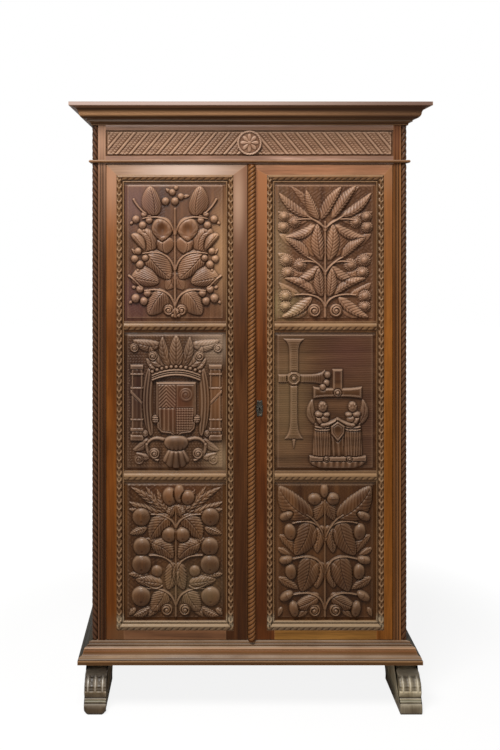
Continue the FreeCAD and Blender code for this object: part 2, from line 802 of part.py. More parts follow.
def make_surface_bolt(tip, way):
    """A rod and its plate with two guides. The rod's tip is at z = tip and points along way."""
    x, y = rod_place()
    back = front_y + door_frame["thickness"]
    half_rod = rod_width / 2
    half_plate = guide_plate_width / 2
    tail = tip - way * rod_length
    z0, z1 = sorted((tip, tail))
    bar = box(x - half_rod, x + half_rod, y - rod_thickness / 2, y + rod_thickness / 2, z0, z1)
    plate_end = tip - way * guide_end
    z0, z1 = sorted((plate_end, plate_end - way * guide_plate_length))
    plate = box(x - half_plate, x + half_plate, back, back + guide_plate_thickness, z0, z1)
    face = back + guide_plate_thickness
    guide_ends = (plate_end - way * guide_end, tail + way * guide_end)
    for end, inward in zip(guide_ends, (-way, way)):
        z0, z1 = sorted((end, end + inward * guide_height))
        plate = plate.fuse(box(x - half_plate, x + half_plate, face, face + guide_depth, z0, z1))
    z0, z1 = sorted((tip + way * overrun, tail - way * overrun))
    slot = box(x - half_rod - bolt_play, x + half_rod + bolt_play,
               y - rod_thickness / 2 - bolt_play, y + rod_thickness / 2 + bolt_play, z0, z1)
    knob_z = (tip + tail) / 2
    knob = Part.makeCylinder(knob_radius, knob_length, Vec(x, y, knob_z), Vec(0, 1, 0))
    return bar.fuse(knob).removeSplitter(), plate.removeSplitter().cut(slot)


def write(node, solids):
    """One STEP file per node. Several solids are kept apart in a compound."""
    solids = [solid for shape in solids for solid in shape.Solids]
    shape = solids[0] if len(solids) == 1 else Part.makeCompound(solids)
    shape.exportStep(os.path.join("parts", node + ".step"))
    print(node, len(solids), round(shape.Volume), shape.isValid())


def main():
    half_base = half_body + base_overhang
    write("foot_runner_left", [make_foot(-half_base + foot_left_inset)])
    write("foot_runner_right", [make_foot(half_base - foot_right_inset - foot_width)])
    for node, solid in zip(("base_front", "base_left", "base_right", "base_back"), make_base()):
        write(node, [solid])
    write("floor_board", [make_floor()])

    post_front, post_back = make_posts()
    write("post_front_left", [post_front])
    write("post_front_right", [mirrored(post_front)])
    write("post_back_left", [post_back])
    write("post_back_right", [mirrored(post_back)])
    column = make_rope(base_top, ledge_bottom)
    short = make_rope(ledge_top, cornice_bottom)
    write("rope_column_left", [column])
    write("rope_column_right", [mirrored(column)])
    write("frieze_rope_left", [short])
    write("frieze_rope_right", [mirrored(short)])
    rails, panels = make_side()
    write("side_rails_left", rails)
    write("side_rails_right", [mirrored(solid) for solid in rails])
    write("side_panels_left", panels)
    write("side_panels_right", [mirrored(solid) for solid in panels])
    write("back_boards", make_back_boards())

    nodes = ("frieze_rail_lower", "frieze_rail_upper", "frieze_panel", "frieze_medallion")
    for node, solid in zip(nodes, make_frieze()):
        write(node, [solid])
    write("ledge_moulding", make_ledge())
    for node, solid in zip(("cornice_front", "cornice_left", "cornice_right"), make_cornice()):
        write(node, [solid])
    write("top_board", [box(-half_body, half_body, front_y, back_y, case_top, total_height)])
    write("shelf_lower", [make_shelf(middle_centres[0])])
    write("shelf_upper", [make_shelf(middle_centres[1])])
    write("shelf_cleats", make_cleats())
    write("pivot_pins", make_pivots())

    left_edge = -half_opening + door_gap
    left_meeting = meeting_line - door_gap / 2
    right_meeting = meeting_line + door_gap / 2
    right_edge = half_opening - door_gap
    left = make_door(left_meeting - left_edge, hinge_face_left, meeting_face_left)
    left = {name: [moved(s, left_edge, front_y) for s in solids] for name, solids in left.items()}
    right = make_door(right_edge - right_meeting, hinge_face_right, meeting_face_right)
    right = {name: [moved(mirrored(s), right_edge, front_y) for s in solids]
             for name, solids in right.items()}

    pocket = bolt_box(bolt_pocket_play, left_meeting - bolt_pocket_depth, left_meeting + overrun)
    left["stile_meeting"] = [left["stile_meeting"][0].cut(pocket)]
    case, recess, lock_bolt = make_lock(right_meeting)
    right["stile_meeting"] = [
        right["stile_meeting"][0].cut(recess).cut(keyhole(front_y - overrun, front_y + door_back))]
    for side, pieces in (("left", left), ("right", right)):
        for name, solids in pieces.items():
            write("door_" + side + "_" + name, solids)

    rod_top, guides_top = make_surface_bolt(lip_bottom - rod_air, 1)
    rod_bottom, guides_bottom = make_surface_bolt(floor_top + rod_air, -1)
    write("bolt_guides", [guides_top, guides_bottom])
    write("bolt_rod_top", [rod_top])
    write("bolt_rod_bottom", [rod_bottom])
    write("rope_astragal", [make_astragal(right_meeting)])
    write("escutcheon", [make_escutcheon()])
    write("lock_case", [case])
    write("lock_bolt", [lock_bolt])


main()
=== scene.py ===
import bpy
import math
import numpy as np
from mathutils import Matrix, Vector


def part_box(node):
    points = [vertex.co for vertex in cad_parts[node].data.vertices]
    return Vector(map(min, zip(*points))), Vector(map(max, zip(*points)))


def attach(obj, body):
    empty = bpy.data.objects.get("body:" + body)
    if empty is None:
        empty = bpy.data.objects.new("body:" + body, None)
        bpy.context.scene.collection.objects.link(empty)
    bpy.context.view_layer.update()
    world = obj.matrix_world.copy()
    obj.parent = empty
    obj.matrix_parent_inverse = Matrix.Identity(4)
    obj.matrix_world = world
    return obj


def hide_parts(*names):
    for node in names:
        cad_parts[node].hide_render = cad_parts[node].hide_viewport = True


# Tall carved two-door cupboard. The frame is in metres. Carving is drawn in millimetres,
# from the middle of each panel, and is placed by the box of the piece that it dresses.
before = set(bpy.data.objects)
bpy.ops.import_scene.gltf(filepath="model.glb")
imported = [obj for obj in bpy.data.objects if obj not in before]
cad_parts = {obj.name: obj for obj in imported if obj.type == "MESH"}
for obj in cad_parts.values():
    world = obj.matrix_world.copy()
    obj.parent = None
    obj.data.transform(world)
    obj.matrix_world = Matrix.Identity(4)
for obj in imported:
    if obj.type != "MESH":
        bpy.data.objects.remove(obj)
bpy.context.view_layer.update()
mm = 0.001
print("frame loaded", len(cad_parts), "nodes")


# Colours and nodes

def linear(hexColour):
    # sRGB to linear: c / 12.92 up to 0.04045, above it ((c + 0.055) / 1.055) ^ 2.4
    shares = [int(hexColour[i:i + 2], 16) / 255 for i in (1, 3, 5)]
    return [c / 12.92 if c <= 0.04045 else ((c + 0.055) / 1.055) ** 2.4 for c in shares] + [1.0]


def addNode(owner, kind, settings=(), links=(), stops=()):
    # settings are sockets, by name or number, or properties; stops are places and colours of a ramp
    tree = owner.node_tree
    node = tree.nodes.new("ShaderNode" + kind)
    for key, value in dict(settings).items():
        if isinstance(key, int) or key in node.inputs:
            node.inputs[key].default_value = value
        else:
            setattr(node, key, value)
    for key, output in dict(links).items():
        tree.links.new(output, node.inputs[key])
    for index, (place, colour) in enumerate(stops):
        ramp = node.color_ramp.elements
        stop = ramp[index] if index < 2 else ramp.new(place)
        stop.position = place
        stop.color = linear(colour)
    return node


def emptyMaterial(name):
    # a material with no nodes yet
    material = bpy.data.materials.new(name)
    material.use_nodes = True
    material.node_tree.nodes.clear()
    return material


# Woods. Each is a dictionary of what a finisher would change, and one function makes them all.

woodDefaults = {
    "grain": "Z",            # the way the boards run
    "dark": "#4a2712", "mid": "#70401c", "light": "#8c5a30",
    "streak": 38.0,          # mm across one stripe of figure
    "fibre": 5.0,            # mm, drawn coarser than the real 1 mm so that it shows
    "bloom": "#c9a084",      # painted light and sheen on the upper part
    "bloomFrom": 1.2, "bloomTo": 1.9, "bloomMost": 0.0,
    # dust, with a painted highlight, on what faces up
    "dust": "#a39281", "dustMost": 0.4,
    "roughness": 0.36, "gloss": 0.1,
    "carved": False,
    # painted shade in hollows and under what faces down; wear with a painted highlight on ridges, edges and
    # tops
    "hollowTone": "#20120a", "wornTone": "#9a7352", "underTone": "#4a2510",
    "hollowMost": 0.45, "wornMost": 0.4, "topMost": 0.4, "underMost": 0.45,
    # painted shade in the corners
    "grime": "#1f1108", "grimeMost": 0.75, "grimeReach": 9.0,
    "edgeMost": 0.3, "edgeReach": 2.5,
    "lines": (),             # painted light and shade that draw fine upright mouldings: mm from the middle, half width, tone
    "bands": (),             # pale bands of dust and painted highlight, dark bands of painted shade, at level edges: mm from the floor, half width, tone
    "patches": (),           # stains, and painted sheen on some pieces: x, z, their half sizes in mm, tone, most
    "blotch": 0.13,          # how much the stain takes unevenly
    "seed": 0.0,
}


def oiledWood(name, **changes):
    # Hardwood, planed or carved, stained dark and waxed: long stripes of figure, a satin gloss, painted light
    # and sheen high up, dust with a painted highlight on what faces up, painted shade in the corners, and worn
    # edges painted paler. On carving the hollows get painted shade, the ridges wear with a painted highlight,
    # and what faces up is painted lighter than what faces down.
    s = dict(woodDefaults, **changes)
    wood = emptyMaterial(name)
    along = {"X": (0.06, 1, 1), "Y": (1, 0.06, 1), "Z": (1, 1, 0.06)}[s["grain"]]
    place = addNode(wood, "TexCoord").outputs["Object"]
    aside = (s["seed"], s["seed"] * 0.7, s["seed"] * 0.3)
    grain = addNode(wood, "Mapping", {"Scale": along, "Location": aside}, {"Vector": place}).outputs["Vector"]
    figure = addNode(wood, "TexNoise", {"Scale": 1 / (s["streak"] * mm), "Detail": 3.0, "Distortion": 0.7},
                     {"Vector": grain}).outputs["Fac"]
    fibre = addNode(wood, "TexNoise", {"Scale": 1 / (s["fibre"] * mm), "Detail": 2.0, "Roughness": 0.7},
                    {"Vector": grain}).outputs["Fac"]
    cloud = addNode(wood, "TexNoise", {"Scale": 6.0, "Detail": 4.0}, {"Vector": place}).outputs["Fac"]
    base = addNode(wood, "ValToRGB", {}, {"Fac": figure},
                   [(0.3, s["dark"]), (0.5, s["mid"]), (0.72, s["light"])]).outputs["Color"]
    for noise, least, most in ((fibre, 0.8, 1.14), (cloud, 1 - s["blotch"], 1 + s["blotch"])):
        shade = addNode(wood, "MapRange", {"From Min": 0.3, "From Max": 0.7, "To Min": least, "To Max": most},
                        {"Value": noise}).outputs["Result"]
        base = addNode(wood, "VectorMath", {"operation": "SCALE"}, {0: base, "Scale": shade}).outputs["Vector"]

    # Layers of tone, the lowest first. Each follows a measure: the places on it where the layer starts and
    # ends, its share at both of them, and the kind of step between them.
    axes = addNode(wood, "SeparateXYZ", {}, {"Vector": place}).outputs
    # painted light and sheen, growing with height towards the top
    layers = [(s["bloom"], axes["Z"], s["bloomFrom"], s["bloomTo"], 0.0, s["bloomMost"], "SMOOTHSTEP")]

    # dust in patches, with a painted highlight, on what faces up
    normal = addNode(wood, "NewGeometry").outputs["Normal"]
    facing = addNode(wood, "SeparateXYZ", {}, {"Vector": normal}).outputs["Z"]
    upward = addNode(wood, "MapRange", {"From Min": 0.25, "From Max": 0.95, "To Max": s["dustMost"]},
                     {"Value": facing}).outputs["Result"]
    patchy = addNode(wood, "MapRange", {"From Min": 0.35, "From Max": 0.6, "To Min": 0.45},
                     {"Value": cloud}).outputs["Result"]
    dusty = addNode(wood, "Math", {"operation": "MULTIPLY"}, {0: upward, 1: patchy}).outputs[0]
    layers.append((s["dust"], dusty, 0.0, 1.0, 0.0, 1.0, "LINEAR"))

    for axis, (middle, half, tone) in [("X", row) for row in s["lines"]] + [("Z", row) for row in s["bands"]]:
        # a pale stripe is painted light, a dark one painted shade; each follows the distance of |x| or z from
        # its middle
        away = axes[axis]
        for operation in ("ABSOLUTE", "SUBTRACT", "ABSOLUTE"):
            away = addNode(wood, "Math", {"operation": operation, 1: middle * mm}, {0: away}).outputs[0]
        layers.append((tone, away, half * 0.4 * mm, half * mm, 0.7, 0.0, "LINEAR"))

    # stains, and on the upper stiles and rail a painted sheen
    for x, z, halfX, halfZ, tone, most in s["patches"]:
        # a patch follows the length of (dx / half x, dz / half z), full at 0 and none at 1
        away = place
        for operation, by in (("SUBTRACT", (x * mm, 0, z * mm)),
                              ("MULTIPLY", (1 / (halfX * mm), 0, 1 / (halfZ * mm)))):
            away = addNode(wood, "VectorMath", {"operation": operation, 1: by}, {0: away}).outputs["Vector"]
        away = addNode(wood, "VectorMath", {"operation": "LENGTH"}, {0: away}).outputs["Value"]
        layers.append((tone, away, 0.0, 1.0, most, 0.0, "SMOOTHSTEP"))

    # edges are worn and paler, with a painted highlight; corners get painted shade
    for inside, reach, start, tone, most in (
            (True, s["edgeReach"], 0.55, s["wornTone"], s["edgeMost"]),
            (False, s["grimeReach"], 0.35, s["grime"], s["grimeMost"])):
        closed = addNode(wood, "AmbientOcclusion", {"samples": 4, "inside": inside, "only_local": True,
                                                    "Distance": reach * mm}).outputs["AO"]
        layers.append((tone, closed, start, 0.85, most, 0.0, "LINEAR"))

    if s["carved"]:
        # painted light on what faces up, painted shade on what faces down
        layers.append((s["wornTone"], facing, 0.08, 0.7, 0.0, s["topMost"], "LINEAR"))
        layers.append((s["underTone"], facing, -0.08, -0.65, 0.0, s["underMost"], "LINEAR"))
        # painted shade in the hollows, wear with a painted highlight on the ridges
        for label in ("worn", "hollow"):
            share = addNode(wood, "Attribute", {"attribute_name": label}).outputs["Fac"]
            layers.append((s[label + "Tone"], share, 0.0, 1.0, 0.0, s[label + "Most"], "LINEAR"))

    for tone, measure, start, end, first, last, step in layers:
        share = addNode(wood, "MapRange", {"From Min": start, "From Max": end, "To Min": first, "To Max": last,
                                           "interpolation_type": step}, {"Value": measure}).outputs["Result"]
        base = addNode(wood, "Mix", {"data_type": "RGBA", 7: linear(tone)}, {0: share, 6: base}).outputs[2]

    sheen = addNode(wood, "MapRange", {"From Min": 0.3, "From Max": 0.7, "To Min": s["roughness"] - 0.06,
                                       "To Max": s["roughness"] + 0.1}, {"Value": figure}).outputs["Result"]
    bump = addNode(wood, "Bump", {"Strength": 0.25, "Distance": 0.4 * mm}, {"Height": fibre}).outputs["Normal"]
    shader = addNode(wood, "BsdfPrincipled", {"Specular IOR Level": s["gloss"]},
                     {"Base Color": base, "Roughness": sheen, "Normal": bump})
    addNode(wood, "OutputMaterial", {}, {"Surface": shader.outputs["BSDF"]})
    return wood


def darkMetal(name, colours, roughness, speck, metallic=1.0):
    # Forged iron or cast bronze, browned by handling: uneven tone, dull in the pits.
    metal = emptyMaterial(name)
    place = addNode(metal, "TexCoord").outputs["Object"]
    cloud = addNode(metal, "TexNoise", {"Scale": 1 / (speck * mm), "Detail": 4.0},
                    {"Vector": place}).outputs["Fac"]
    base = addNode(metal, "ValToRGB", {}, {"Fac": cloud},
                   [(0.3, colours[0]), (0.55, colours[1]), (0.75, colours[2])]).outputs["Color"]
    dull = addNode(metal, "MapRange", {"From Min": 0.3, "From Max": 0.7, "To Min": roughness + 0.15,
                                       "To Max": roughness - 0.08}, {"Value": cloud}).outputs["Result"]
    bump = addNode(metal, "Bump", {"Strength": 0.3, "Distance": 0.3 * mm}, {"Height": cloud}).outputs["Normal"]
    shader = addNode(metal, "BsdfPrincipled", {"Metallic": metallic},
                     {"Base Color": base, "Roughness": dull, "Normal": bump})
    addNode(metal, "OutputMaterial", {}, {"Surface": shader.outputs["BSDF"]})
    return metal


# Meshes. A part is a dictionary: points, quads, caps (many-sided faces), and per point its shares of painted
# shade in hollows and of wear with a painted highlight.

def shell(points, hollow=None, worn=None, wrapRows=False):
    # A rows x columns grid of points, wrapped round its columns: point (i, j) joins (i + 1, j) and (i, j + 1).
    # The first and last rows are closed by caps, unless the rows wrap too.
    rows, cols = points.shape[:2]
    i = np.arange(rows if wrapRows else rows - 1)[:, None]
    j = np.arange(cols)[None, :]
    k, m = (i + 1) % rows, (j + 1) % cols
    quads = np.stack([i * cols + j, i * cols + m, k * cols + m, k * cols + j], -1).reshape(-1, 4)
    caps = [] if wrapRows else [np.arange(cols)[::-1], (rows - 1) * cols + np.arange(cols)]
    blank = np.zeros(rows * cols)
    return {"points": points.reshape(-1, 3), "quads": quads, "caps": caps,
            "hollow": blank if hollow is None else hollow.reshape(-1),
            "worn": blank if worn is None else worn.reshape(-1)}


def slab(points, back, hollow, worn):
    # A rows x columns relief that looks to -Y, walls down to y = back round its rim, and a flat back.
    rows, cols = points.shape[:2]
    i, j = np.arange(rows - 1)[:, None], np.arange(cols - 1)[None, :]
    front = np.stack([i * cols + j, i * cols + j + 1, (i + 1) * cols + j + 1, (i + 1) * cols + j], -1)
    number = np.arange(rows * cols).reshape(rows, cols)
    rim = np.concatenate([number[0, :-1], number[:-1, -1], number[-1, :0:-1], number[:0:-1, 0]])
    flat = points.reshape(-1, 3)
    behind = flat[rim].copy()
    behind[:, 1] = back
    low = rows * cols + np.arange(len(rim))
    walls = np.stack([rim, low, np.roll(low, -1), np.roll(rim, -1)], -1)
    pad = np.zeros(len(rim))
    return {"points": np.concatenate([flat, behind]), "quads": np.concatenate([front.reshape(-1, 4), walls]),
            "caps": [low[::-1]], "hollow": np.concatenate([hollow.reshape(-1), pad]),
            "worn": np.concatenate([worn.reshape(-1), pad])}


def signedVolume(part):
    # a sixth of the sum of a . (b x c) over the triangles of every face
    p, q = part["points"], part["quads"]
    triangles = [q[:, [0, 1, 2]], q[:, [0, 2, 3]]]
    for cap in part["caps"]:
        triangles.append(np.stack([np.full(len(cap) - 2, cap[0]), cap[1:-1], cap[2:]], -1))
    t = np.concatenate(triangles)
    return np.einsum("ij,ij->", p[t[:, 0]], np.cross(p[t[:, 1]], p[t[:, 2]])) / 6


def makePiece(name, parts, material, body, nodes, sharpAngle=50):
    # Closed parts in metres become one mesh, turned so that every part's faces point outwards.
    points, faces, hollow, worn = [], [], [], []
    start = 0
    for part in parts:
        turn = -1 if signedVolume(part) < 0 else 1
        faces += (part["quads"][:, ::turn] + start).tolist()
        faces += [(cap[::turn] + start).tolist() for cap in part["caps"]]
        points.append(part["points"])
        hollow.append(part["hollow"])
        worn.append(part["worn"])
        start += len(part["points"])
    mesh = bpy.data.meshes.new(name)
    mesh.from_pydata(np.concatenate(points).tolist(), [], faces)
    for label, values in (("hollow", hollow), ("worn", worn)):
        layer = mesh.attributes.new(label, "FLOAT", "POINT")
        layer.data.foreach_set("value", np.concatenate(values).astype(np.float32))
    mesh.polygons.foreach_set("use_smooth", np.ones(len(mesh.polygons), bool))
    mesh.set_sharp_from_angle(angle=math.radians(sharpAngle))
    mesh.materials.append(material)
    mesh.update()
    piece = bpy.data.objects.new(name, mesh)
    bpy.context.scene.collection.objects.link(piece)
    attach(piece, body)
    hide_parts(*nodes)
    print("made", name, len(mesh.polygons), "faces")


def measured(box):
    # the corners of a node's box in metres, its width and its height in mm
    low, high = box
    return low, high, (high.x - low.x) / mm, (high.z - low.z) / mm


def reliefGrid(wide, tall, s, beyond):
    # Lines of x and of z: step apart on the raised field, then at the distances beyond its edge, then the rim.
    lines = []
    for half in (wide / 2, tall / 2):
        edge = half - s["tongue"] - s["border"]
        inner = np.linspace(-edge, edge, int(2 * edge / s["step"]) + 1)
        outer = np.append(edge + np.array(beyond), half)
        lines.append(np.concatenate([-outer[::-1], inner, outer]))
    X, Z = np.meshgrid(*lines)
    edges = [line[-len(beyond) - 2] for line in lines]
    return X, Z, edges, (np.abs(X) < edges[0] + 0.5) & (np.abs(Z) < edges[1] + 0.5)


def grooved(turns, depth):
    # twisted strands: depth * (1 - sqrt(1 - w^2.2)), where |w| goes from 1 to 0 and back in each turn
    w = np.abs(turns % 1.0 * 2 - 1)
    return depth * (1 - np.sqrt(np.clip(1 - w ** 2.2, 0, 1)))


def softened(field, reach):
    # the mean over a square of 2 reach + 1 steps, taken twice, by running sums along each axis
    for _ in range(2):
        for axis in (0, 1):
            width = [(reach + 1, reach) if a == axis else (0, 0) for a in (0, 1)]
            sums = np.cumsum(np.pad(field, width, mode="edge"), axis)
            ahead = np.take(sums, range(2 * reach + 1, sums.shape[axis]), axis)
            behind = np.take(sums, range(0, sums.shape[axis] - 2 * reach - 1), axis)
            field = (ahead - behind) / (2 * reach + 1)
    return field


def wearOf(height):
    # how far a point lies below its surroundings, for painted shade, and how far it stands above them, for wear
    # with a painted highlight
    near, wide = softened(height, 2), softened(height, 6)
    hollow = np.clip((near - height) / 1.3, 0, 1) * 0.6 + np.clip((wide - height) / 3.2, 0, 1) * 0.7
    worn = np.clip((height - near) / 0.8, 0, 1) * 0.7 + np.clip((height - wide) / 3.0, 0, 1) * 0.4
    return np.clip(hollow, 0, 1), np.clip(worn, 0, 1)


# Carver's motifs. Each gives a height in mm over the grid X, Z, in mm, and 0 outside the motif.

def dome(q):
    # sqrt(1 - q) inside q < 1
    return np.sqrt(np.clip(1 - q, 0, 1))


def leaf(X, Z, base, tip, half, rise=12.0, bend=0.0, veins=8, teeth=0.0, blunt=0.6, cut=0.16, lap=0.0,
         slant=0.8, curl=0.7, fold=0.0):
    # s runs 0 to 1 from base to tip, and off is the distance from a midrib bent by 4 bend s (1 - s).
    # The edge lies at half * sin(pi s^0.8)^blunt, with teeth that take the share teeth of it. The height is
    # rise * sqrt(1 - (off / edge)^2.2) * sin(pi s)^0.3, cut by the share cut at the curved veins
    # |sin(pi (veins s - slant |rib| / pitch - curl (rib / half)^2))| and by a sunk midrib; rib is off moved
    # aside by fold * half * sin(pi s), and a folded leaf falls off to its sides. With lap, the lobes between
    # the veins rise to their tip side, as lapped teeth do.
    dx, dz = tip[0] - base[0], tip[1] - base[1]
    length = math.hypot(dx, dz)
    s = ((X - base[0]) * dx + (Z - base[1]) * dz) / length ** 2
    inside = (s > 0) & (s < 1)
    s = np.clip(s, 0.002, 0.998)
    off = ((Z - base[1]) * dx - (X - base[0]) * dz) / length - bend * length * 4 * s * (1 - s)
    rib = off + fold * half * np.sin(np.pi * s)
    phase = veins * s - np.abs(rib) * veins / length * slant - curl * (rib / half) ** 2
    edge = half * np.sin(np.pi * s ** 0.8) ** blunt * (1 - teeth * ((-phase) % 1.0))
    q = np.abs(off) / np.maximum(edge, 0.4)
    vein = (1 - lap) * np.abs(np.sin(np.pi * phase)) ** (0.5 + cut) + lap * (phase % 1.0) ** 0.8
    body = dome(q ** 2.2) * np.sin(np.pi * s) ** 0.3
    ribs = (1 - cut + cut * vein) * (1 - 0.2 * np.exp(-(rib / 1.6) ** 2))
    ridge = 1 - abs(fold) * np.clip(np.abs(rib) / half, 0, 1)
    return np.where(inside & (q < 1), rise * body * ribs * ridge, 0)


def fruit(X, Z, x, z, rx, rz, rise, turn=0.0, scaly=False):
    # half an ellipsoid, rise * sqrt(1 - (u / rx)^2 - (w / rz)^2)^0.9, with a small eye, or with a scaly cup
    # over its upper half
    c, n = math.cos(math.radians(turn)), math.sin(math.radians(turn))
    u, w = (X - x) * c + (Z - z) * n, (Z - z) * c - (X - x) * n
    q = (u / rx) ** 2 + (w / rz) ** 2
    h = rise * dome(q) ** 0.9
    if scaly:
        return np.where((w > rz * 0.1) & (q < 1), h * 1.1 + 0.9 * np.sin(u * 0.9) * np.sin(w * 0.9), h)
    return h - np.where(q < 1, rise * 0.1 * np.exp(-((u / 4) ** 2 + ((w + rz * 0.5) / 4) ** 2)), 0)


def stem(X, Z, start, middle, end, half, rise):
    # a round tapering ridge, rise * sqrt(1 - (d / half)^2), where d is the distance to the curve
    # (1 - t)^2 start + 2 t (1 - t) middle + t^2 end, and half shrinks by 0.4 t
    t = np.linspace(0, 1, 15)[:, None]
    path = (1 - t) ** 2 * np.array(start) + 2 * t * (1 - t) * np.array(middle) + t ** 2 * np.array(end)
    field = np.zeros(X.shape)
    for index, (a, b) in enumerate(zip(path[:-1], path[1:])):
        run = b - a
        share = np.clip(((X - a[0]) * run[0] + (Z - a[1]) * run[1]) / (run @ run), 0, 1)
        square = (X - a[0] - share * run[0]) ** 2 + (Z - a[1] - share * run[1]) ** 2
        thin = half * (1 - 0.4 * index / 14)
        field = np.maximum(field, rise * dome(square / thin ** 2) ** 0.7)
    return field


def volute(X, Z, x, z, radius, rise, way=1):
    # a coiled bud: rise * dome * (0.3 + 0.7 |cos(pi distance / (0.42 radius) - angle / 2)|^0.7), with a
    # round heart
    rho, angle = np.hypot(X - x, Z - z), np.arctan2(Z - z, X - x)
    coil = np.abs(np.cos(np.pi * rho / (0.42 * radius) - way * angle / 2)) ** 0.7
    heart = dome((rho / (0.36 * radius)) ** 2) * 1.15
    return np.where(rho < radius, rise * np.maximum(dome((rho / radius) ** 4) * (0.3 + 0.7 * coil), heart), 0)


def burr(X, Z, x, z, radius, rise, spikes=19):
    # a star-edged husk, radius * (1.05 + 0.09 cos(spikes angle)), with a rough round nut in the middle
    rho, angle = np.hypot(X - x, Z - z), np.arctan2(Z - z, X - x)
    edge = radius * (1.05 + 0.09 * np.cos(spikes * angle))
    husk = 0.72 * dome((rho / edge) ** 2) * (0.84 + 0.16 * np.cos(spikes * angle))
    rough = 1 - 0.12 * np.abs(np.sin(X * 0.5 + Z * 0.3) * np.sin(Z * 0.55 - X * 0.2))
    return rise * np.maximum(husk, dome((rho / (0.68 * radius)) ** 2) * rough)


def cup(X, Z, x, z, rx, rz, rise):
    # an open curled leaf, pointed below: rise * dome less a soft hollow, with streaks that run in to
    # its middle
    w = (Z - z) / rz
    u = (X - x) / rx / (1 - 0.5 * np.clip(-w, 0, 1) ** 1.6)
    q = u ** 2 + w ** 2
    dish = np.exp(-(u / 0.52) ** 2 - ((w + 0.02) / 0.55) ** 2)
    streaks = 0.1 * np.abs(np.cos(7 * np.arctan2(w + 0.5, u) + 1.2 * q)) * q
    return np.where(q < 1, rise * dome(q ** 1.4) * (1 + streaks - 0.46 * dish), 0)


def ball(X, Z, x, z, radius, rise):
    # rise * sqrt(1 - (distance / radius)^2)
    return rise * dome(((X - x) ** 2 + (Z - z) ** 2) / radius ** 2)


def edgeDepth(X, Z, outline):
    # distance to the nearest edge of a closed outline, positive inside it by the even and odd rule
    nearest = np.full(X.shape, 1e9)
    inside = np.zeros(X.shape, bool)
    corners = np.array(outline, float)
    for a, b in zip(corners, np.roll(corners, -1, 0)):
        run = b - a
        share = np.clip(((X - a[0]) * run[0] + (Z - a[1]) * run[1]) / (run @ run), 0, 1)
        nearest = np.minimum(nearest, (X - a[0] - share * run[0]) ** 2 + (Z - a[1] - share * run[1]) ** 2)
        crosses = (a[1] > Z) != (b[1] > Z)
        rise = run[1] if run[1] else 1e-9
        inside ^= crosses & (X < a[0] + (Z - a[1]) * run[0] / rise)
    return np.where(inside, 1, -1) * np.sqrt(nearest)


def plateau(depth, rise, bevel):
    # flat top with a quarter-round edge: rise * sqrt(1 - (1 - depth / bevel)^2)
    return rise * dome((1 - np.clip(depth / bevel, 0, 1)) ** 2) * (depth > 0)


def lay(field, motifs, cut=0.4, under=0.3):
    # Each motif lies over what is there: inside it height = motif + under * field, and in a halo round it
    # the field is cut down by the share cut, as a carver sets one form off from the next.
    for motif in motifs:
        inside = motif > 0.3
        halo = softened(inside.astype(float), 2)
        field[:] = np.where(inside, motif + under * field, field * (1 - cut * np.clip(halo * 1.6, 0, 1)))


def leaves(X, Z, rows, widen=1.0, **look):
    # a row is base, tip, half width and, where the leaf bends, its bend
    return [leaf(X, Z, base, tip, half * widen, bend=sum(bend), **look) for base, tip, half, *bend in rows]


def each(motif, X, Z, rows, *size):
    # the same motif at every row of a list
    return [motif(X, Z, *row, *size) for row in rows]


def gouged(X, Z, deep, across, sway, up, swing):
    # wandering tool marks: deep * |sin(across X + 2.4 sin(sway Z)) sin(up Z + 1.7 sin(swing X))|
    rows = np.sin(X * across + np.sin(Z * sway) * 2.4)
    return deep * np.abs(rows * np.sin(Z * up + 1.7 * np.sin(X * swing)))


# The carved door panels. The lists give the left half, in mm from the panel's middle.

panelGrid = {
    "tongue": 7.5,       # hidden in the frame's grooves
    "border": 12.0,      # sunk margin round the raised field
    "fieldRise": 3.0,
    "marginRise": 2.3,   # the margin slopes back from this to the tongue
    "step": 1.35,        # between the lines of the grid on the field
    "most": 17.0,        # carving never stands higher than this over the field
    "even": 0.25,        # how far each point is drawn to the mean of its four neighbours
}

berryPanel = {
    "leaves": [  # base, tip, half width, bend
        ((-70, 126), (-88, 228), 30, 0.05), ((-82, -2), (-124, 82), 34, -0.06),
        ((-32, 54), (-36, -8), 28, 0.0), ((-102, -6), (-16, -94), 35, 0.08),
        ((-152, -88), (-56, -106), 31, 0.1), ((-38, -134), (-92, -218), 32, 0.06),
        ((-150, 62), (-104, 6), 15, 0.1),
    ],
    "leafLook": {"widen": 1.16, "veins": 9, "teeth": 0.08, "blunt": 0.55, "cut": 0.19, "lap": 0.35,
                 "slant": 1.3, "curl": 0.6, "fold": 0.3},
    "low": [((-6, -74), (-30, -132), 22, 0.1)],
    "lowLook": {"widen": 1.1, "rise": 6.5, "veins": 7, "teeth": 0.05, "cut": 0.2, "slant": 1.5, "curl": 0.2},
    "berries": [
        (-136, 113, 14), (-108, 130, 11), (-90, 110, 13), (-113, 92, 14), (-128, 2, 13), (-140, -25, 14),
        (-103, -22, 13), (-122, -45, 15), (-122, -130, 14), (-96, -144, 14), (-137, -162, 16),
        (-108, -172, 15),
    ],
    "sepals": [
        ((-113, 82), (-104, 66), 5), ((-146, 104), (-158, 96), 5), ((-134, -10), (-150, 10), 5),
        ((-126, -56), (-132, -70), 5), ((-150, -122), (-136, -126), 5), ((-150, -172), (-160, -180), 5),
        ((-96, 120), (-82, 128), 4), ((-90, -150), (-80, -142), 5),
    ],
    "topSepals": [((26, 190), (50, 196), 6), ((-16, 206), (-32, 220), 6)],
    "topBerries": [(-33, 176, 14), (20, 192, 12), (-9, 207, 12), (0, 176, 14), (4, 222, 8)],
    "cup": (-44, 78, 38, 43),
    "stems": [
        ((-2, 62), (-16, 138), (-112, 116)), ((-2, -62), (-20, 14), (-112, -6)),
        ((-2, -186), (-18, -118), (-106, -136)), ((-144, 182), (-128, 152), (-104, 134)),
        ((-160, -84), (-140, -96), (-118, -124)),
    ],
    "volutes": [(-23, -203, 19)],
}


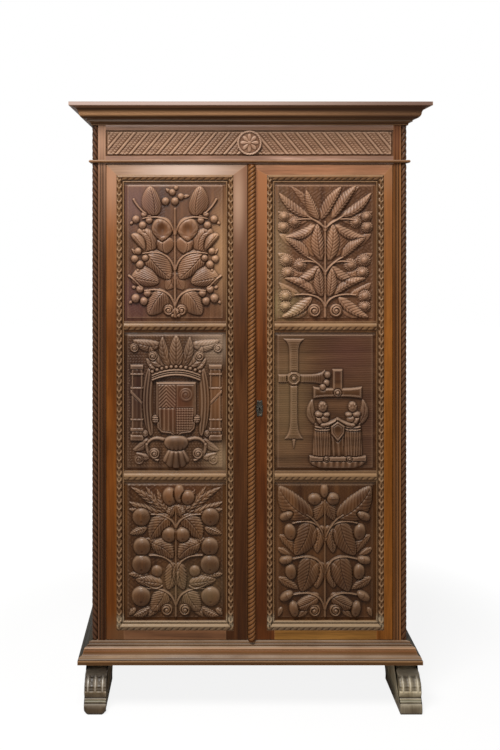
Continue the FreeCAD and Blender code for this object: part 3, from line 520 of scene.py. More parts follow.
def drawBerryPanel(X, Z):
    # leaves, berries and coiled buds about a middle stem, laid on a flat ground at x and at -x
    s = berryPanel
    field = np.zeros(X.shape)
    for side in (X, -X):
        lay(field, leaves(side, Z, s["low"], **s["lowLook"]))
        lay(field, leaves(side, Z, s["leaves"][:3], rise=14.5, **s["leafLook"]))
        lay(field, [cup(side, Z, *s["cup"], 16.0)])
        lay(field, leaves(side, Z, s["leaves"][3:], rise=15.5, **s["leafLook"]))
        lay(field, leaves(side, Z, s["sepals"], rise=8.0, veins=2))
        lay(field, [fruit(side, Z, x, z, r * 0.94, r * 0.94, r * 0.95) for x, z, r in s["berries"]], 0.7, 0.1)
        lay(field, each(stem, side, Z, s["stems"], 4.0, 7.5), 0.25)
        lay(field, each(volute, side, Z, s["volutes"], 11.0))
    lay(field, leaves(X, Z, s["topSepals"], rise=7))
    lay(field, [fruit(X, Z, x, z, r * 0.96, r * 0.96, r * 0.95) for x, z, r in s["topBerries"]], 0.7, 0.1)
    lay(field, leaves(X, Z, [((2, -196), (3, -230), 13)], rise=12, veins=4)
        + each(ball, X, Z, ((-8, -222), (13, -222)), 7, 8))
    lay(field, [stem(X, Z, (0, -226), (0, -50), (0, 150), 4.6, 6.5)], 0.2)
    return field


burrPanel = {
    "back": [  # low leaves behind: base, tip, half width, bend
        ((-36, -16), (-48, 98), 34, 0.0), ((-28, -152), (-56, -64), 24, 0.1),
        ((-60, 108), (-164, 140), 17, 0.1), ((-96, 20), (-160, 62), 15, 0.0),
        ((-30, 118), (-118, 228), 13, -0.05), ((-60, -96), (-150, -60), 16, 0.0),
        ((-90, -150), (-160, -108), 15, 0.1), ((-104, -40), (-164, -6), 15, 0.0),
        ((-62, -206), (-116, -228), 12, 0.0),
    ],
    "leaves": [
        ((-58, 122), (-160, 204), 15, 0.07), ((-34, 92), (-142, 50), 15, 0.1),
        ((-14, -48), (-112, -108), 15, 0.07), ((-58, -18), (-140, 48), 15, -0.08),
        ((-30, -148), (-142, -92), 14, -0.1), ((-46, -158), (-150, -228), 17, 0.06),
        ((-14, -30), (-26, 98), 20, 0.06), ((-12, -156), (-22, -56), 18, 0.05),
    ],
    "backLook": {"widen": 1.2, "rise": 6.0, "veins": 9, "teeth": 0.15, "blunt": 0.7, "cut": 0.3, "lap": 0.3,
                 "slant": 1.0, "curl": 0.2, "fold": 0.2},
    "leafLook": {"widen": 1.22, "rise": 13.0, "teeth": 0.2, "blunt": 0.62, "cut": 0.24, "lap": 0.6,
                 "slant": 0.7, "curl": 0.1},
    "innerLook": {"widen": 1.2, "rise": 13.0, "veins": 10, "teeth": 0.12, "blunt": 0.62, "cut": 0.24,
                  "lap": 0.5, "slant": 0.9, "curl": 0.15, "fold": 0.1},
    "topLeaves": [  # drawn as they are: base, tip, half width, bend
        ((-24, 112), (-66, 214), 15, 0.05), ((-14, 114), (56, 226), 17, 0.04),
        ((24, 118), (108, 230), 16, 0.04),
    ],
    "burrs": [
        (-106, 104, 20), (-146, 86, 19), (-144, 122, 17), (-136, -30, 21), (-88, -46, 21), (-130, -72, 20),
        (-138, -154, 21), (-138, -190, 19),
    ],
    "stems": [
        ((-2, 74), (-20, 128), (-104, 110)), ((-2, -78), (-20, -18), (-92, -38)),
        ((-2, -190), (-16, -140), (-106, -150)), ((-2, 84), (-34, 108), (-62, 124)),
        ((-2, -70), (-24, -36), (-62, -18)),
    ],
    "volutes": [(-38, -205, 23)],
}


def drawBurrPanel(X, Z):
    # pointed leaves and burrs about a middle stem, laid on a gouged ground at x and at -x
    s = burrPanel
    field = gouged(X, Z, 0.8, 0.19, 0.11, 0.23, 0.13)
    for side in (X, -X):
        lay(field, leaves(side, Z, s["back"], **s["backLook"]), 0.2, 0.5)
        lay(field, each(burr, side, Z, s["burrs"], 14.0), 0.5, 0.1)
        lay(field, leaves(side, Z, s["leaves"][:6], veins=10, fold=-0.42, **s["leafLook"]))
        lay(field, leaves(side, Z, s["leaves"][6:], **s["innerLook"]))
        lay(field, each(stem, side, Z, s["stems"], 3.8, 7.5), 0.25)
        lay(field, each(volute, side, Z, s["volutes"], 12.0))
    lay(field, leaves(X, Z, s["topLeaves"], veins=11, fold=0.42, **s["leafLook"]))
    lay(field, [stem(X, Z, (0, -226), (0, -60), (0, 104), 4.8, 7.0)], 0.2)
    return field


fruitPanel = {
    "middle": 3.0,
    "back": [
        ((-38, 130), (-164, 172), 15, 0.05), ((-34, 126), (-156, 222), 14, -0.05),
        ((-26, 132), (-104, 224), 12, 0.05), ((-18, 130), (-66, 216), 12, 0.06),
        ((-80, 130), (-164, 146), 12, 0.0), ((-100, 80), (-160, 60), 14, 0.0),
        ((-96, -84), (-164, -80), 13, 0.0), ((-140, -200), (-164, -222), 10, 0.0),
        ((-88, -196), (-150, -224), 13, 0.1), ((-50, 12), (-104, 44), 20, 0.0),
        ((-4, 160), (-34, 110), 16, 0.0), ((-60, -186), (-96, -228), 14, 0.0),
    ],
    "leaves": [
        ((-24, 126), (-90, 44), 31, -0.06), ((-82, 30), (-8, -24), 28, 0.1),
        ((-10, -40), (-28, -134), 24, 0.06), ((-46, -112), (-140, -98), 19, 0.0),
        ((-36, -136), (-84, -206), 30, 0.06),
    ],
    "backLook": {"widen": 1.2, "rise": 9.0, "veins": 7, "teeth": 0.34, "blunt": 0.8, "cut": 0.4, "lap": 0.5},
    "leafLook": {"widen": 1.18, "rise": 12.0, "veins": 8, "teeth": 0.16, "lap": 0.3},
    "knobs": [(-66, -70, 20)],
    "fruits": [(-120, 120, 32), (-118, 16, 31), (-119, -46, 34), (-121, -157, 34), (-24, 57, 26)],
    "top": [(-22, 190, 26, 32), (12, 200, 20, 32), (42, 186, 25, 26)],
    "stems": [
        ((-2, -186), (-18, -122), (-100, -130)), ((-2, -66), (-20, -10), (-92, -14)),
        ((-2, 84), (-20, 136), (-100, 128)), ((-48, -120), (-70, -140), (-110, -110)),
    ],
    "volutes": [(-32, -203, 21)],
}


def drawFruitPanel(X, Z):
    # round fruit and leaves about a middle stem, laid on a gouged ground at x and at -x
    s = fruitPanel
    X = X - s["middle"]
    field = gouged(X, Z, 0.9, 0.17, 0.1, 0.19, 0.12)
    for side in (X, -X):
        lay(field, leaves(side, Z, s["back"], **s["backLook"]), 0.2, 0.5)
        lay(field, leaves(side, Z, s["leaves"], **s["leafLook"]), 0.3, 0.4)
        lay(field, each(ball, side, Z, s["knobs"], 10.0))
        lay(field, each(stem, side, Z, s["stems"], 3.8, 7.5), 0.25)
        lay(field, [fruit(side, Z, x, z, r, r, 16.0) for x, z, r in s["fruits"]], 0.45, 0.05)
        lay(field, each(volute, side, Z, s["volutes"], 11.0))
    lay(field, each(fruit, X, Z, s["top"], 15.5), 0.45, 0.05)
    lay(field, [stem(X, Z, (0, -226), (0, -60), (0, 158), 4.2, 5.5)], 0.15)
    return field


acornPanel = {
    "middle": -1.0,
    "back": [
        ((-158, 56), (-106, -10), 16, 0.1), ((-162, -92), (-92, -132), 15, 0.0),
        ((-164, 10), (-118, -16), 11, 0.0), ((-150, -196), (-164, -228), 9, 0.0),
        ((-4, 172), (-34, 106), 21, 0.0), ((-58, -200), (-96, -230), 12, 0.0),
    ],
    "leaves": [
        ((-46, 114), (-160, 224), 40, 0.1), ((-8, 88), (-28, -6), 22, -0.06),
        ((-52, 104), (-104, -14), 35, 0.08), ((-12, -38), (-30, -128), 25, -0.06),
        ((-52, -16), (-82, -140), 36, 0.06), ((-20, -152), (-106, -196), 23, 0.06),
    ],
    "backLook": {"widen": 1.15, "rise": 7.5, "veins": 7, "teeth": 0.25, "blunt": 0.75, "cut": 0.25,
                 "lap": 0.5},
    "leafLook": {"widen": 1.1, "rise": 12.5, "veins": 10, "teeth": 0.06, "cut": 0.12},
    "nuts": [  # x, z, half width, half height, turn, scaly
        (-134, 124, 15, 26, -62, True), (-121, 67, 21, 29, 12, False), (-136, -30, 15, 24, -78, True),
        (-119, -71, 20, 28, 10, False), (-134, -156, 15, 26, -58, True), (-108, -201, 17, 28, 12, False),
    ],
    "topNuts": [(-36, 181, 24, 20, 0, False), (28, 182, 22, 21, 0, True), (-2, 210, 15, 24, 0, False)],
    "stems": [
        ((-2, 40), (-16, 124), (-112, 98)), ((-2, -76), (-18, 4), (-114, -28)),
        ((-2, -200), (-16, -126), (-114, -152)), ((-2, 52), (-24, 104), (-64, 128)),
    ],
    "volutes": [(-37, -206, 22)],
}


def drawAcornPanel(X, Z):
    # leaves and nuts, some in scaly cups, about a middle stem, laid at x and at -x
    s = acornPanel
    X = X - s["middle"]
    field = np.zeros(X.shape)
    for side in (X, -X):
        lay(field, leaves(side, Z, s["back"], **s["backLook"]), 0.2, 0.5)
        lay(field, leaves(side, Z, s["leaves"], **s["leafLook"]))
        lay(field, each(stem, side, Z, s["stems"], 3.8, 8.0), 0.25)
        lay(field, [fruit(side, Z, *oval, 15.0, turn, scaly) for *oval, turn, scaly in s["nuts"]], 0.45, 0.1)
        lay(field, each(volute, side, Z, s["volutes"], 11.5))
    lay(field, [fruit(X, Z, *oval, 14.5, turn, scaly) for *oval, turn, scaly in s["topNuts"]], 0.45, 0.1)
    lay(field, [stem(X, Z, (0, -226), (0, -40), (0, 176), 4.4, 6.0)], 0.15)
    return field


def hangingFolds(X, Z, rise, top, low, x, bow, half):
    # cloth that hangs in folds: its middle is at x - bow sin(pi s) and its half width is half * sin(pi s)^0.35,
    # with s from 0 at the top to 1 at the foot, and the folds are |cos(0.27 off)|
    s = np.clip((top - Z) / (top - low), 0.002, 0.998)
    off = X - x + bow * np.sin(np.pi * s)
    q = np.abs(off) / (half * np.sin(np.pi * s) ** 0.35)
    folds = 0.6 + 0.4 * np.abs(np.cos(0.27 * off + 0.8 * s))
    return np.where((Z < top) & (Z > low) & (q < 1), rise * dome(q ** 2.4) * folds, 0)


shieldPanel = {
    "middle": 4.0,
    "outline": [
        (-70, 68), (70, 68), (70, -40), (66, -92), (52, -108), (20, -112), (0, -126), (-20, -112),
        (-52, -108), (-66, -92), (-70, -40),
    ],
    "crown": {"half": 84.0, "low": 71.0, "arch": 19.0, "balls": 11},
    "column": {
        "inner": 114.0, "outer": 159.0, "flutes": 3,
        "bands": [(112, 128, 8.5), (92, 98, 7.5), (44, 50, 7.5), (-66, -60, 7.5), (-104, -92, 8.0),
            (-136, -116, 8.5)],
    },
    "plume": [
        ((0, 112), (0, 230), 26, 0.0), ((-12, 114), (-48, 224), 20, 0.1), ((-28, 112), (-92, 194), 20, 0.14),
        ((-40, 110), (-104, 148), 17, 0.12), ((-56, 196), (-150, 212), 22, 0.1),
    ],
    "mantle": {"top": 124.0, "low": -118.0, "x": -88.0, "bow": 12.0, "half": 19.0},
    "shellTop": -116.0,
    "lowLeaves": [((-96, -132), (-150, -170), 15, 0.1), ((-92, -196), (-140, -180), 13, 0.1)],
    "scrolls": [((-40, -134), (-84, -116), (-102, -150)), ((-102, -150), (-104, -192), (-64, -204))],
}


def drawShieldPanel(X, Z):
    # a crowned shield between two columns, on a ground of ripples 0.8 |sin(x) sin(z)|
    s = shieldPanel
    u = X - s["middle"]
    field = 0.8 * np.abs(np.sin(X * 0.3 + np.sin(Z * 0.2) * 2) * np.sin(Z * 0.33))
    # pilasters at both sides: a capital, a sunk block, a plain band wound round the shaft, and a base
    c = s["column"]
    across = np.abs(u)
    share = (across - c["inner"]) / (c["outer"] - c["inner"])
    inside = (share > 0) & (share < 1)
    shaft = inside & (Z < 112) & (Z > -120) & (np.abs(share - 0.5) < 0.42)
    flute = np.abs(np.sin(share * np.pi * c["flutes"]))
    column = np.where(shaft, 5.0 + 1.2 * flute, 0)
    for low, high, tall in c["bands"]:
        band = inside & (Z > low) & (Z < high)
        column = np.where(band, tall * dome(np.abs((2 * Z - low - high) / (high - low)) ** 4) ** 0.5, column)
    block = inside & (Z > 50) & (Z < 92) & (np.abs(share - 0.5) < 0.3)
    column = np.where(block, 3.5, column)
    wound = np.abs(Z + 10 - 46 * share) / 8
    column = np.where(inside & (wound < 1), 8.0 * dome(wound ** 4), column)
    field = np.maximum(field, column)
    for side in (u, -u):
        lay(field, [hangingFolds(side, Z, 9.0, **s["mantle"])], 0.3, 0.1)
        lay(field, each(volute, side, Z, ((-108, -112, 11, 8.0), (-84, 120, 12, 10.0))), 0.3, 0.1)
        lay(field, leaves(side, Z, s["plume"][4:0:-1], rise=9.5, veins=7, teeth=0.1))
        lay(field, each(volute, side, Z, ((-146, 186, 16, 8.0), (-82, 158, 17, 11.0))))
        lay(field, leaves(side, Z, s["lowLeaves"], rise=7.0, teeth=0.1))
        lay(field, each(stem, side, Z, s["scrolls"], 6.0, 7.5))
        lay(field, each(volute, side, Z, ((-76, -182, 19, 9.0), (-130, -203, 18, 4.0))))
    lay(field, leaves(u, Z, s["plume"][:1], rise=12.0, teeth=0.1))
    # the shield: a rim, and four quarters of plain ornament
    depth = edgeDepth(u, Z, s["outline"])
    w = Z + 22
    inner = np.clip((depth - 9) / 2, 0, 1)
    chevrons = np.sin((w + np.abs(u + 34)) * 0.5)
    lattice = 1.4 * np.sin((u + w) * 0.36) * np.sin((u - w) * 0.36)
    pales = 1.3 * np.sin(u * 0.42)
    disc = volute(u, Z, 34, 24, 24, 3.0)
    quarters = np.where(u < 0, np.where(w > 0, chevrons, pales), np.where(w > 0, disc, lattice))
    cross = (np.abs(u) < 2.2) | (np.abs(w) < 2.2)
    board = plateau(depth, 10.5, 5.0) - 2.0 * ((depth > 6) & (depth < 9))
    board = board + inner * quarters - 2.0 * inner * cross
    lay(field, [np.where(depth > 0, board, 0)], 0.7, 0.0)
    lay(field, [fruit(side, Z, -72, -62, 12, 15, 12.0) * (0.8 + 0.2 * np.cos(Z * 0.9)) for side in (u, -u)])
    # the crown: three arched bands under beads
    c = s["crown"]
    arch = Z - c["low"] - c["arch"] * (1 - (u / c["half"]) ** 2)
    inside = np.abs(u) < c["half"]
    for low, high, tall in ((0, 9, 13.0), (10, 16, 11.0), (17, 24, 12.0)):
        place = (2 * arch - low - high) / (high - low)
        lay(field, [np.where(inside, tall * dome(place ** 2) ** 0.7, 0)], 0.5, 0.0)
    for share in np.linspace(-0.95, 0.95, c["balls"]):
        z = c["low"] + c["arch"] * (1 - share ** 2) + 31
        lay(field, [ball(u, Z, share * c["half"] * 1.04, z, 7.5, 11.0)], 0.5, 0.0)
    # the scallop: a lower fan of round ribs |cos(13.3 angle)|, and over it an oval bulge with a wavy lower rim
    rho, angle = np.hypot(u, Z - s["shellTop"]), np.arctan2(u, s["shellTop"] - Z)
    ribs = np.abs(np.cos(angle * 13.3)) ** 0.7
    rim = 118 * (0.95 + 0.05 * ribs) * (1 - (angle / 1.3) ** 2)
    reach = (rho - 80) / np.maximum(rim - 80, 1)
    fan = 13.0 * dome((angle / 0.5) ** 4) * (0.72 + 0.28 * ribs) * dome(reach ** 2)
    lay(field, [np.where((np.abs(angle) < 0.5) & (rho < rim) & (rho > 50), fan, 0)], 0.5, 0.0)
    lip = 27 + 3.0 * np.abs(np.cos(u * 0.21))
    bulge = 16.0 * dome((u / 43) ** 2 + ((Z + 142) / np.where(Z < -142, lip, 26)) ** 2) ** 0.8
    lay(field, [bulge], 0.6, 0.0)
    return field


figurePanel = {
    "tall": {"x": -109.0, "z": 80.0, "top": 218.0, "foot": -131.0, "left": -163.0, "right": 0.0},
    "small": {"x": 43.0, "z": 30.0, "top": 113.0, "left": -42.0, "right": 128.0},
    "balls": [(4, 64), (8, 92), (-8, 50)],
    "heads": (-9.0, 95.0), "headZ": -19.0,
    "shield": [(-27, 114), (0, 132), (27, 114), (24, 86), (0, 56), (-24, 86)],  # from the plinth's middle
    "plinth": {"x": 43.0, "z": -198.0, "half": 98.0},
}


def figure(X, Z, x, z, toward):
    # A robed figure, from head to hem; toward is +1 if it reaches to the right. The robe's half width is
    # 29 mm at the waist and 34 at the hem, and its folds are |cos(0.36 u)|.
    def at(across, up):
        # a place measured from the middle of the head: x + across * toward, z + up
        return x + across * toward, z + up

    u, w = (X - x) * toward, Z - z
    waist, hem = 58, 172.0
    share = np.clip(-(w + waist) / (hem - waist), 0, 1)
    half = 29 + 5 * share
    robe = (w < 2 - waist) & (w > -hem) & (np.abs(u + 1) < half)
    folds = 0.78 + 0.22 * np.abs(np.cos(u * 0.36 + 1.3 * share * np.sign(u)))
    field = np.where(robe, 11.0 * np.abs(dome(((u + 1) / half) ** 2)) ** 0.8 * folds, 0)
    # the body, two folds of the sash, an arm that reaches to the shield, and the shoulders
    lay(field, [fruit(X, Z, *at(-1, -44), 23, 30, 12.5)], 0.15, 0.0)
    lay(field, [stem(X, Z, at(-25, -68), at(0, -74), at(24, -68), 3.2, 12.5),
                stem(X, Z, at(-26, -77), at(0, -83), at(25, -77), 3.0, 11.5)], 0.3, 0.2)
    lay(field, [stem(X, Z, at(-15, -24), at(-19, -50), at(2, -62), 9.5, 14.5),
                stem(X, Z, at(-2, -62), at(24, -62), at(53, -42), 8.0, 14.5)], 0.3, 0.1)
    lay(field, [fruit(X, Z, *at(-13, -26), 16, 11, 14.0), fruit(X, Z, *at(13, -27), 13, 9, 12.5)], 0.25, 0.1)
    # an egg-shaped head on plain proportions: eyes halfway, nose below them, mouth a third up, curls round it
    a, b = (X - x) / 15, (Z - z) / 18.5
    egg = dome(a ** 2 + b ** 2)
    hair = (b > 0.5 - 0.25 * a ** 2) | (np.abs(a) > 0.74)
    nose = 1.7 * np.exp(-(a / 0.13) ** 2 - ((b + 0.05) / 0.22) ** 2)
    eyes = -1.3 * np.exp(-((np.abs(a) - 0.36) / 0.2) ** 2 - ((b - 0.1) / 0.13) ** 2)
    mouth = -0.9 * np.exp(-(a / 0.28) ** 2 - ((b + 0.45) / 0.07) ** 2)
    face = 13.2 * egg ** 0.6 + nose + eyes + mouth
    curls = 14.0 * egg ** 0.5 + 1.2 * np.sin(np.arctan2(b, a) * 9)
    lay(field, [np.where(egg > 0, np.where(hair, curls, face), 0)], 0.5, 0.0)
    return field


def drawFigurePanel(X, Z):
    # a tall cross beside two robed figures with a shield, on ripples 0.6 |sin(z)|
    s = figurePanel
    field = 0.6 * np.abs(np.sin(Z * 0.5 + 0.3 * np.sin(X * 0.05)))
    # the tall cross: limbs that flare at their ends, an eight-sided boss and a spiked foot
    c = s["tall"]
    u, w = X - c["x"], Z - c["z"]
    rises = np.where(w > 0, w / (c["top"] - c["z"]), -w / (c["z"] - c["foot"]))
    goes = np.where(u > 0, u / (c["right"] - c["x"]), -u / (c["x"] - c["left"]))
    upright = np.where(w > 0, 16, 13) + 21 * np.clip(rises, 0, 1) ** 10
    level = 14 + 18 * np.clip(goes, 0, 1) ** 7 * (u > 0)
    inUpright = (np.abs(u) < upright) & (rises < 1)
    inLevel = (np.abs(w) < level) & (goes < 1)
    depth = np.maximum(np.where(inUpright, np.minimum(upright - np.abs(u), (1 - rises) * 130), 0),
                       np.where(inLevel, np.minimum(level - np.abs(w), (1 - goes) * 80), 0))
    rungs = 0.9 * np.abs(np.sin(np.where(inUpright, Z, X) * 0.4))
    cross = 5.5 * dome((1 - np.clip(depth / 4, 0, 1)) ** 2) + rungs * (depth > 6)
    boss = np.maximum(np.maximum(np.abs(u), np.abs(w)), (np.abs(u) + np.abs(w)) / 1.41)
    spike = (np.abs(u) < 6 * (1 - (c["foot"] - Z) / 34)) & (Z <= c["foot"]) & (Z > c["foot"] - 34)
    lay(field, [np.where(inUpright | inLevel, cross, np.where(spike, 5.0, 0))], 0.6, 0.0)
    plate = 9.0 * dome((boss / 25) ** 6) * (0.8 + 0.2 * np.cos(boss * 0.7))
    lay(field, [plate, ball(X, Z, c["x"], c["z"], 9, 12)], 0.6, 0.0)
    # the short cross, with three balls beside it, over the two figures
    c = s["small"]
    u, w = X - c["x"], Z - c["z"]
    goes = np.abs(u) / (c["right"] - c["x"])
    level = 15 + 6 * np.clip(goes, 0, 1) ** 3
    upright = (np.abs(u) < 18) & (w > 0) & (Z < c["top"])
    arms = (np.abs(w - 1) < level) & (goes < 1)
    depth = np.maximum(np.where(upright, np.minimum(18 - np.abs(u), c["top"] - Z), 0),
                       np.where(arms, np.minimum(level - np.abs(w - 1), (1 - goes) * 85), 0))
    cross = 8.0 * dome((1 - np.clip(depth / 6, 0, 1)) ** 2) - 1.0 * (depth > 8)
    lay(field, [np.where(upright | arms, cross, 0)], 0.7, 0.0)
    lay(field, each(ball, X, Z, s["balls"], 12, 11), 0.5, 0.1)
    lay(field, [ball(X, Z, c["x"], c["z"], 15, 12), ball(X, Z, c["x"], c["z"], 8, 14)], 0.5, 0.0)
    # low capes behind, the drapery between, the figures, their shield and the plinth
    low = (np.abs(X - 43) < 62 + 10 * np.clip((-100 - Z) / 90, 0, 1)) & (Z < -84) & (Z > -196)
    lay(field, [np.where(low, 5.5 + 1.3 * np.cos(X * 0.34 + Z * 0.02), 0)], 0.2, 0.0)
    for x, toward in zip(s["heads"], (1, -1)):
        lay(field, [leaf(X, Z, (x - 14 * toward, s["headZ"] - 66), (x - 36 * toward, s["headZ"] + 26), 17, 8.0,
                         0.16 * toward, 3, 0.0, 0.6, 0.1)])
        lay(field, [figure(X, Z, x, s["headZ"], toward)], 0.4, 0.0)
    x, z = s["plinth"]["x"], s["plinth"]["z"]
    depth = edgeDepth(X, Z, [(x + across, z + up) for across, up in s["shield"]])
    lay(field, [plateau(depth, 12.0, 7.0) - 1.5 * ((depth > 8) & (depth < 11))], 0.7, 0.0)
    u = (X - x) / s["plinth"]["half"]
    bowl = z - 8 - 31 * dome(np.abs(u) ** 2.2)
    inBowl = (np.abs(u) < 1) & (Z < z - 4) & (Z > bowl)
    hull = 11.0 * dome(((z - 4 - Z) / np.maximum(z - 4 - bowl, 1)) ** 3) * (0.85 + 0.15 * np.cos(X * 0.3))
    lay(field, [np.where(inBowl, hull, 0)], 0.7, 0.0)
    lay(field, [np.where((np.abs(u) < 1) & (Z > z - 6) & (Z < z + 5 + 5 * u ** 4), 13.5, 0)], 0.6, 0.0)
    lay(field, [volute(X, Z, x + way * 40, z - 1, 11, 14.8) for way in (-1, 1)], 0.4, 0.0)
    return field


def carvedPanel(name, draw, tooling, ground, material, body):
    # A board with a sunk border and a raised field: y = front - height over a grid of x and z lines,
    # spread wide on the border and close on the field. The ground between the motifs has gouge marks as
    # deep as tooling, and is given painted shade by the share after tooling.
    s = panelGrid
    low, high, wide, tall = measured(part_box(name))
    centre = (low + high) / 2
    X, Z, edges, onField = reliefGrid(wide, tall, s, (1.2, s["border"] * 0.5, s["border"]))
    gouges = tooling * np.sin(X * 0.5 + 2.5 * np.sin(Z * 0.11)) * np.sin(Z * 0.45 + 2 * np.sin(X * 0.13))
    carving = np.minimum(draw(X, Z), s["most"])
    around = sum(np.roll(carving, way, axis) for axis in (0, 1) for way in (1, -1)) / 4
    carving = carving * (1 - s["even"]) + around * s["even"]
    inward = np.minimum(edges[0] + s["border"] - np.abs(X), edges[1] + s["border"] - np.abs(Z))
    margin = s["marginRise"] * np.clip(inward / s["border"], 0, 1)
    height = np.where(onField, s["fieldRise"] + carving + gouges * np.clip(1.2 - carving / 2, 0.15, 1), margin)
    # painted shade in the hollows, wear with a painted highlight on the ridges
    hollow, worn = wearOf(height)
    # painted shade on the ground between the motifs
    hollow = np.maximum(hollow, ground * np.clip(1.2 - carving / 2.5, 0, 1))
    # the upper margin is painted lighter, the side and lower margins get painted shade
    above = (Z > edges[1] + 0.5) & (inward > -0.5)
    hollow = np.where(onField, hollow, np.where(above, 0.0, 0.3))
    worn = np.where(onField, worn, np.where(above, 0.8, 0))
    front = low.y + s["fieldRise"] * mm
    points = np.stack([centre.x + X * mm, front - height * mm, centre.z + Z * mm], -1)
    makePiece(name + "_carved", [slab(points, high.y, hollow, worn)], material, body,
              [name], 80)


# The rope-turned columns, the cover strip and the garland mouldings

ropeSettings = {
    "strands": 3, "pitch": 22.4, "depth": 3.8, "around": 36, "step": 2.0,
    "plainEnd": 3.0,     # mm at each end without strands
}


def ropeColumn(node, way, material):
    # A twisted column: r = radius - the depth of the grooves, whose angle grows by a full turn in
    # strands * pitch of height.
    s = ropeSettings
    low, high, wide, tall = measured(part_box(node))
    centre = (low + high) / 2
    v = np.linspace(0, tall, int(tall / s["step"]) + 1)[:, None]
    angle = np.linspace(0, 2 * np.pi, s["around"], endpoint=False)[None, :]
    cut = grooved(s["strands"] * angle / (2 * np.pi) + way * v / s["pitch"], s["depth"])
    cut = np.where(np.minimum(v, tall - v) < s["plainEnd"], s["depth"] * 0.5, cut)
    r = (wide / 2 - cut) * mm
    points = np.stack([centre.x + r * np.cos(angle), centre.y + r * np.sin(angle),
                       low.z + v * mm + 0 * angle], -1)
    # the grooves get painted shade, the strands wear with a painted highlight
    hollow = np.clip(cut / s["depth"] - 0.3, 0, 1)
    worn = np.clip(1 - cut / (s["depth"] * 0.35), 0, 1)
    makePiece(node + "_twisted", [shell(points, hollow, worn)], material, "carcass",
              [node], 70)


coverStrip = {
    "pitch": 15.0, "lean": 0.6, "depth": 3.8, "step": 1.7, "across": 34, "side": 5.0, "plainEnd": 4.0,
}


def ropeStrip(node, material):
    # A half-round strip: its section goes up one side, over a half ellipse and down the other. The strands
    # lean across it: their turns are (v - lean * way round) / pitch, and their grooves fade at its sides.
    s = coverStrip
    low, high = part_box(node)
    half, tall = (high.x - low.x) / 2, (high.z - low.z) / mm
    flat = s["side"] * mm
    v = np.linspace(0, tall, int(tall / s["step"]) + 1)[:, None]
    bow = np.linspace(0, np.pi, s["across"])[None, :]
    along = (bow - np.pi / 2) * half / mm
    cut = grooved((v - s["lean"] * along) / s["pitch"], s["depth"]) * np.clip(np.sin(bow) * 2.2, 0, 1)
    cut = np.where(np.minimum(v, tall - v) < s["plainEnd"], s["depth"] * 0.5, cut)
    x = -np.cos(bow) * half + np.cos(bow) * cut * mm
    out = flat + np.sin(bow) * (high.y - low.y - flat) - np.sin(bow) * cut * mm
    rim = np.ones(v.shape)
    pad = 0 * rim
    X = np.concatenate([-half * rim, x, half * rim], 1) + (low.x + high.x) / 2
    Y = high.y - np.concatenate([pad, out, pad], 1)
    points = np.stack([X, Y, low.z + v * mm + 0 * X], -1)
    # the grooves get painted shade, the strands wear with a painted highlight
    hollow = np.concatenate([pad, np.clip(cut / s["depth"] - 0.3, 0, 1), pad], 1)
    worn = np.concatenate([pad, np.clip(1 - cut / (s["depth"] * 0.3), 0, 1), pad], 1)
    makePiece(node + "_twisted", [shell(points, hollow, worn)], material, "door_right",
              [node], 70)


garland = {
    "pitchUp": 24.3, "pitchAcross": 22.0, "depth": 4.4, "channel": 3.2, "step": 1.6, "points": 30,
    "seat": 8.0, "rise": 4.0,
}


def mouldingDepth(t, kind):
    # Depth below the door's face over the share t of the width. A middle strip is an arc between slopes. The
    # others are an arc from 0.25 seat to the rise and back at 0.7, then a fine half-round bead at 0.6 seat.
    seat, rise = garland["seat"], garland["rise"]
    if kind == "middle":
        q = np.clip((t - 0.18) / 0.64, 0, 1)
        arc = 0.4 * seat - (0.4 * seat + rise) * np.sqrt(np.clip(1 - (2 * q - 1) ** 2, 0, 1))
        slopes = 0.4 * seat + np.minimum(np.abs(t - 0.18), np.abs(t - 0.82)) / 0.18 * 0.2 * seat
        return np.where((t > 0.18) & (t < 0.82), arc, slopes)
    q = np.clip(t / 0.7, 0, 1)
    arc = 0.25 * seat - (0.25 * seat + rise) * np.sqrt(np.clip(1 - (2 * q - 1) ** 2, 0, 1))
    fillet = 0.6 * seat - 2.4 * np.sqrt(np.clip(1 - ((t - 0.9) / 0.1) ** 2, 0, 1))
    return np.where(t < 0.7, arc, fillet)


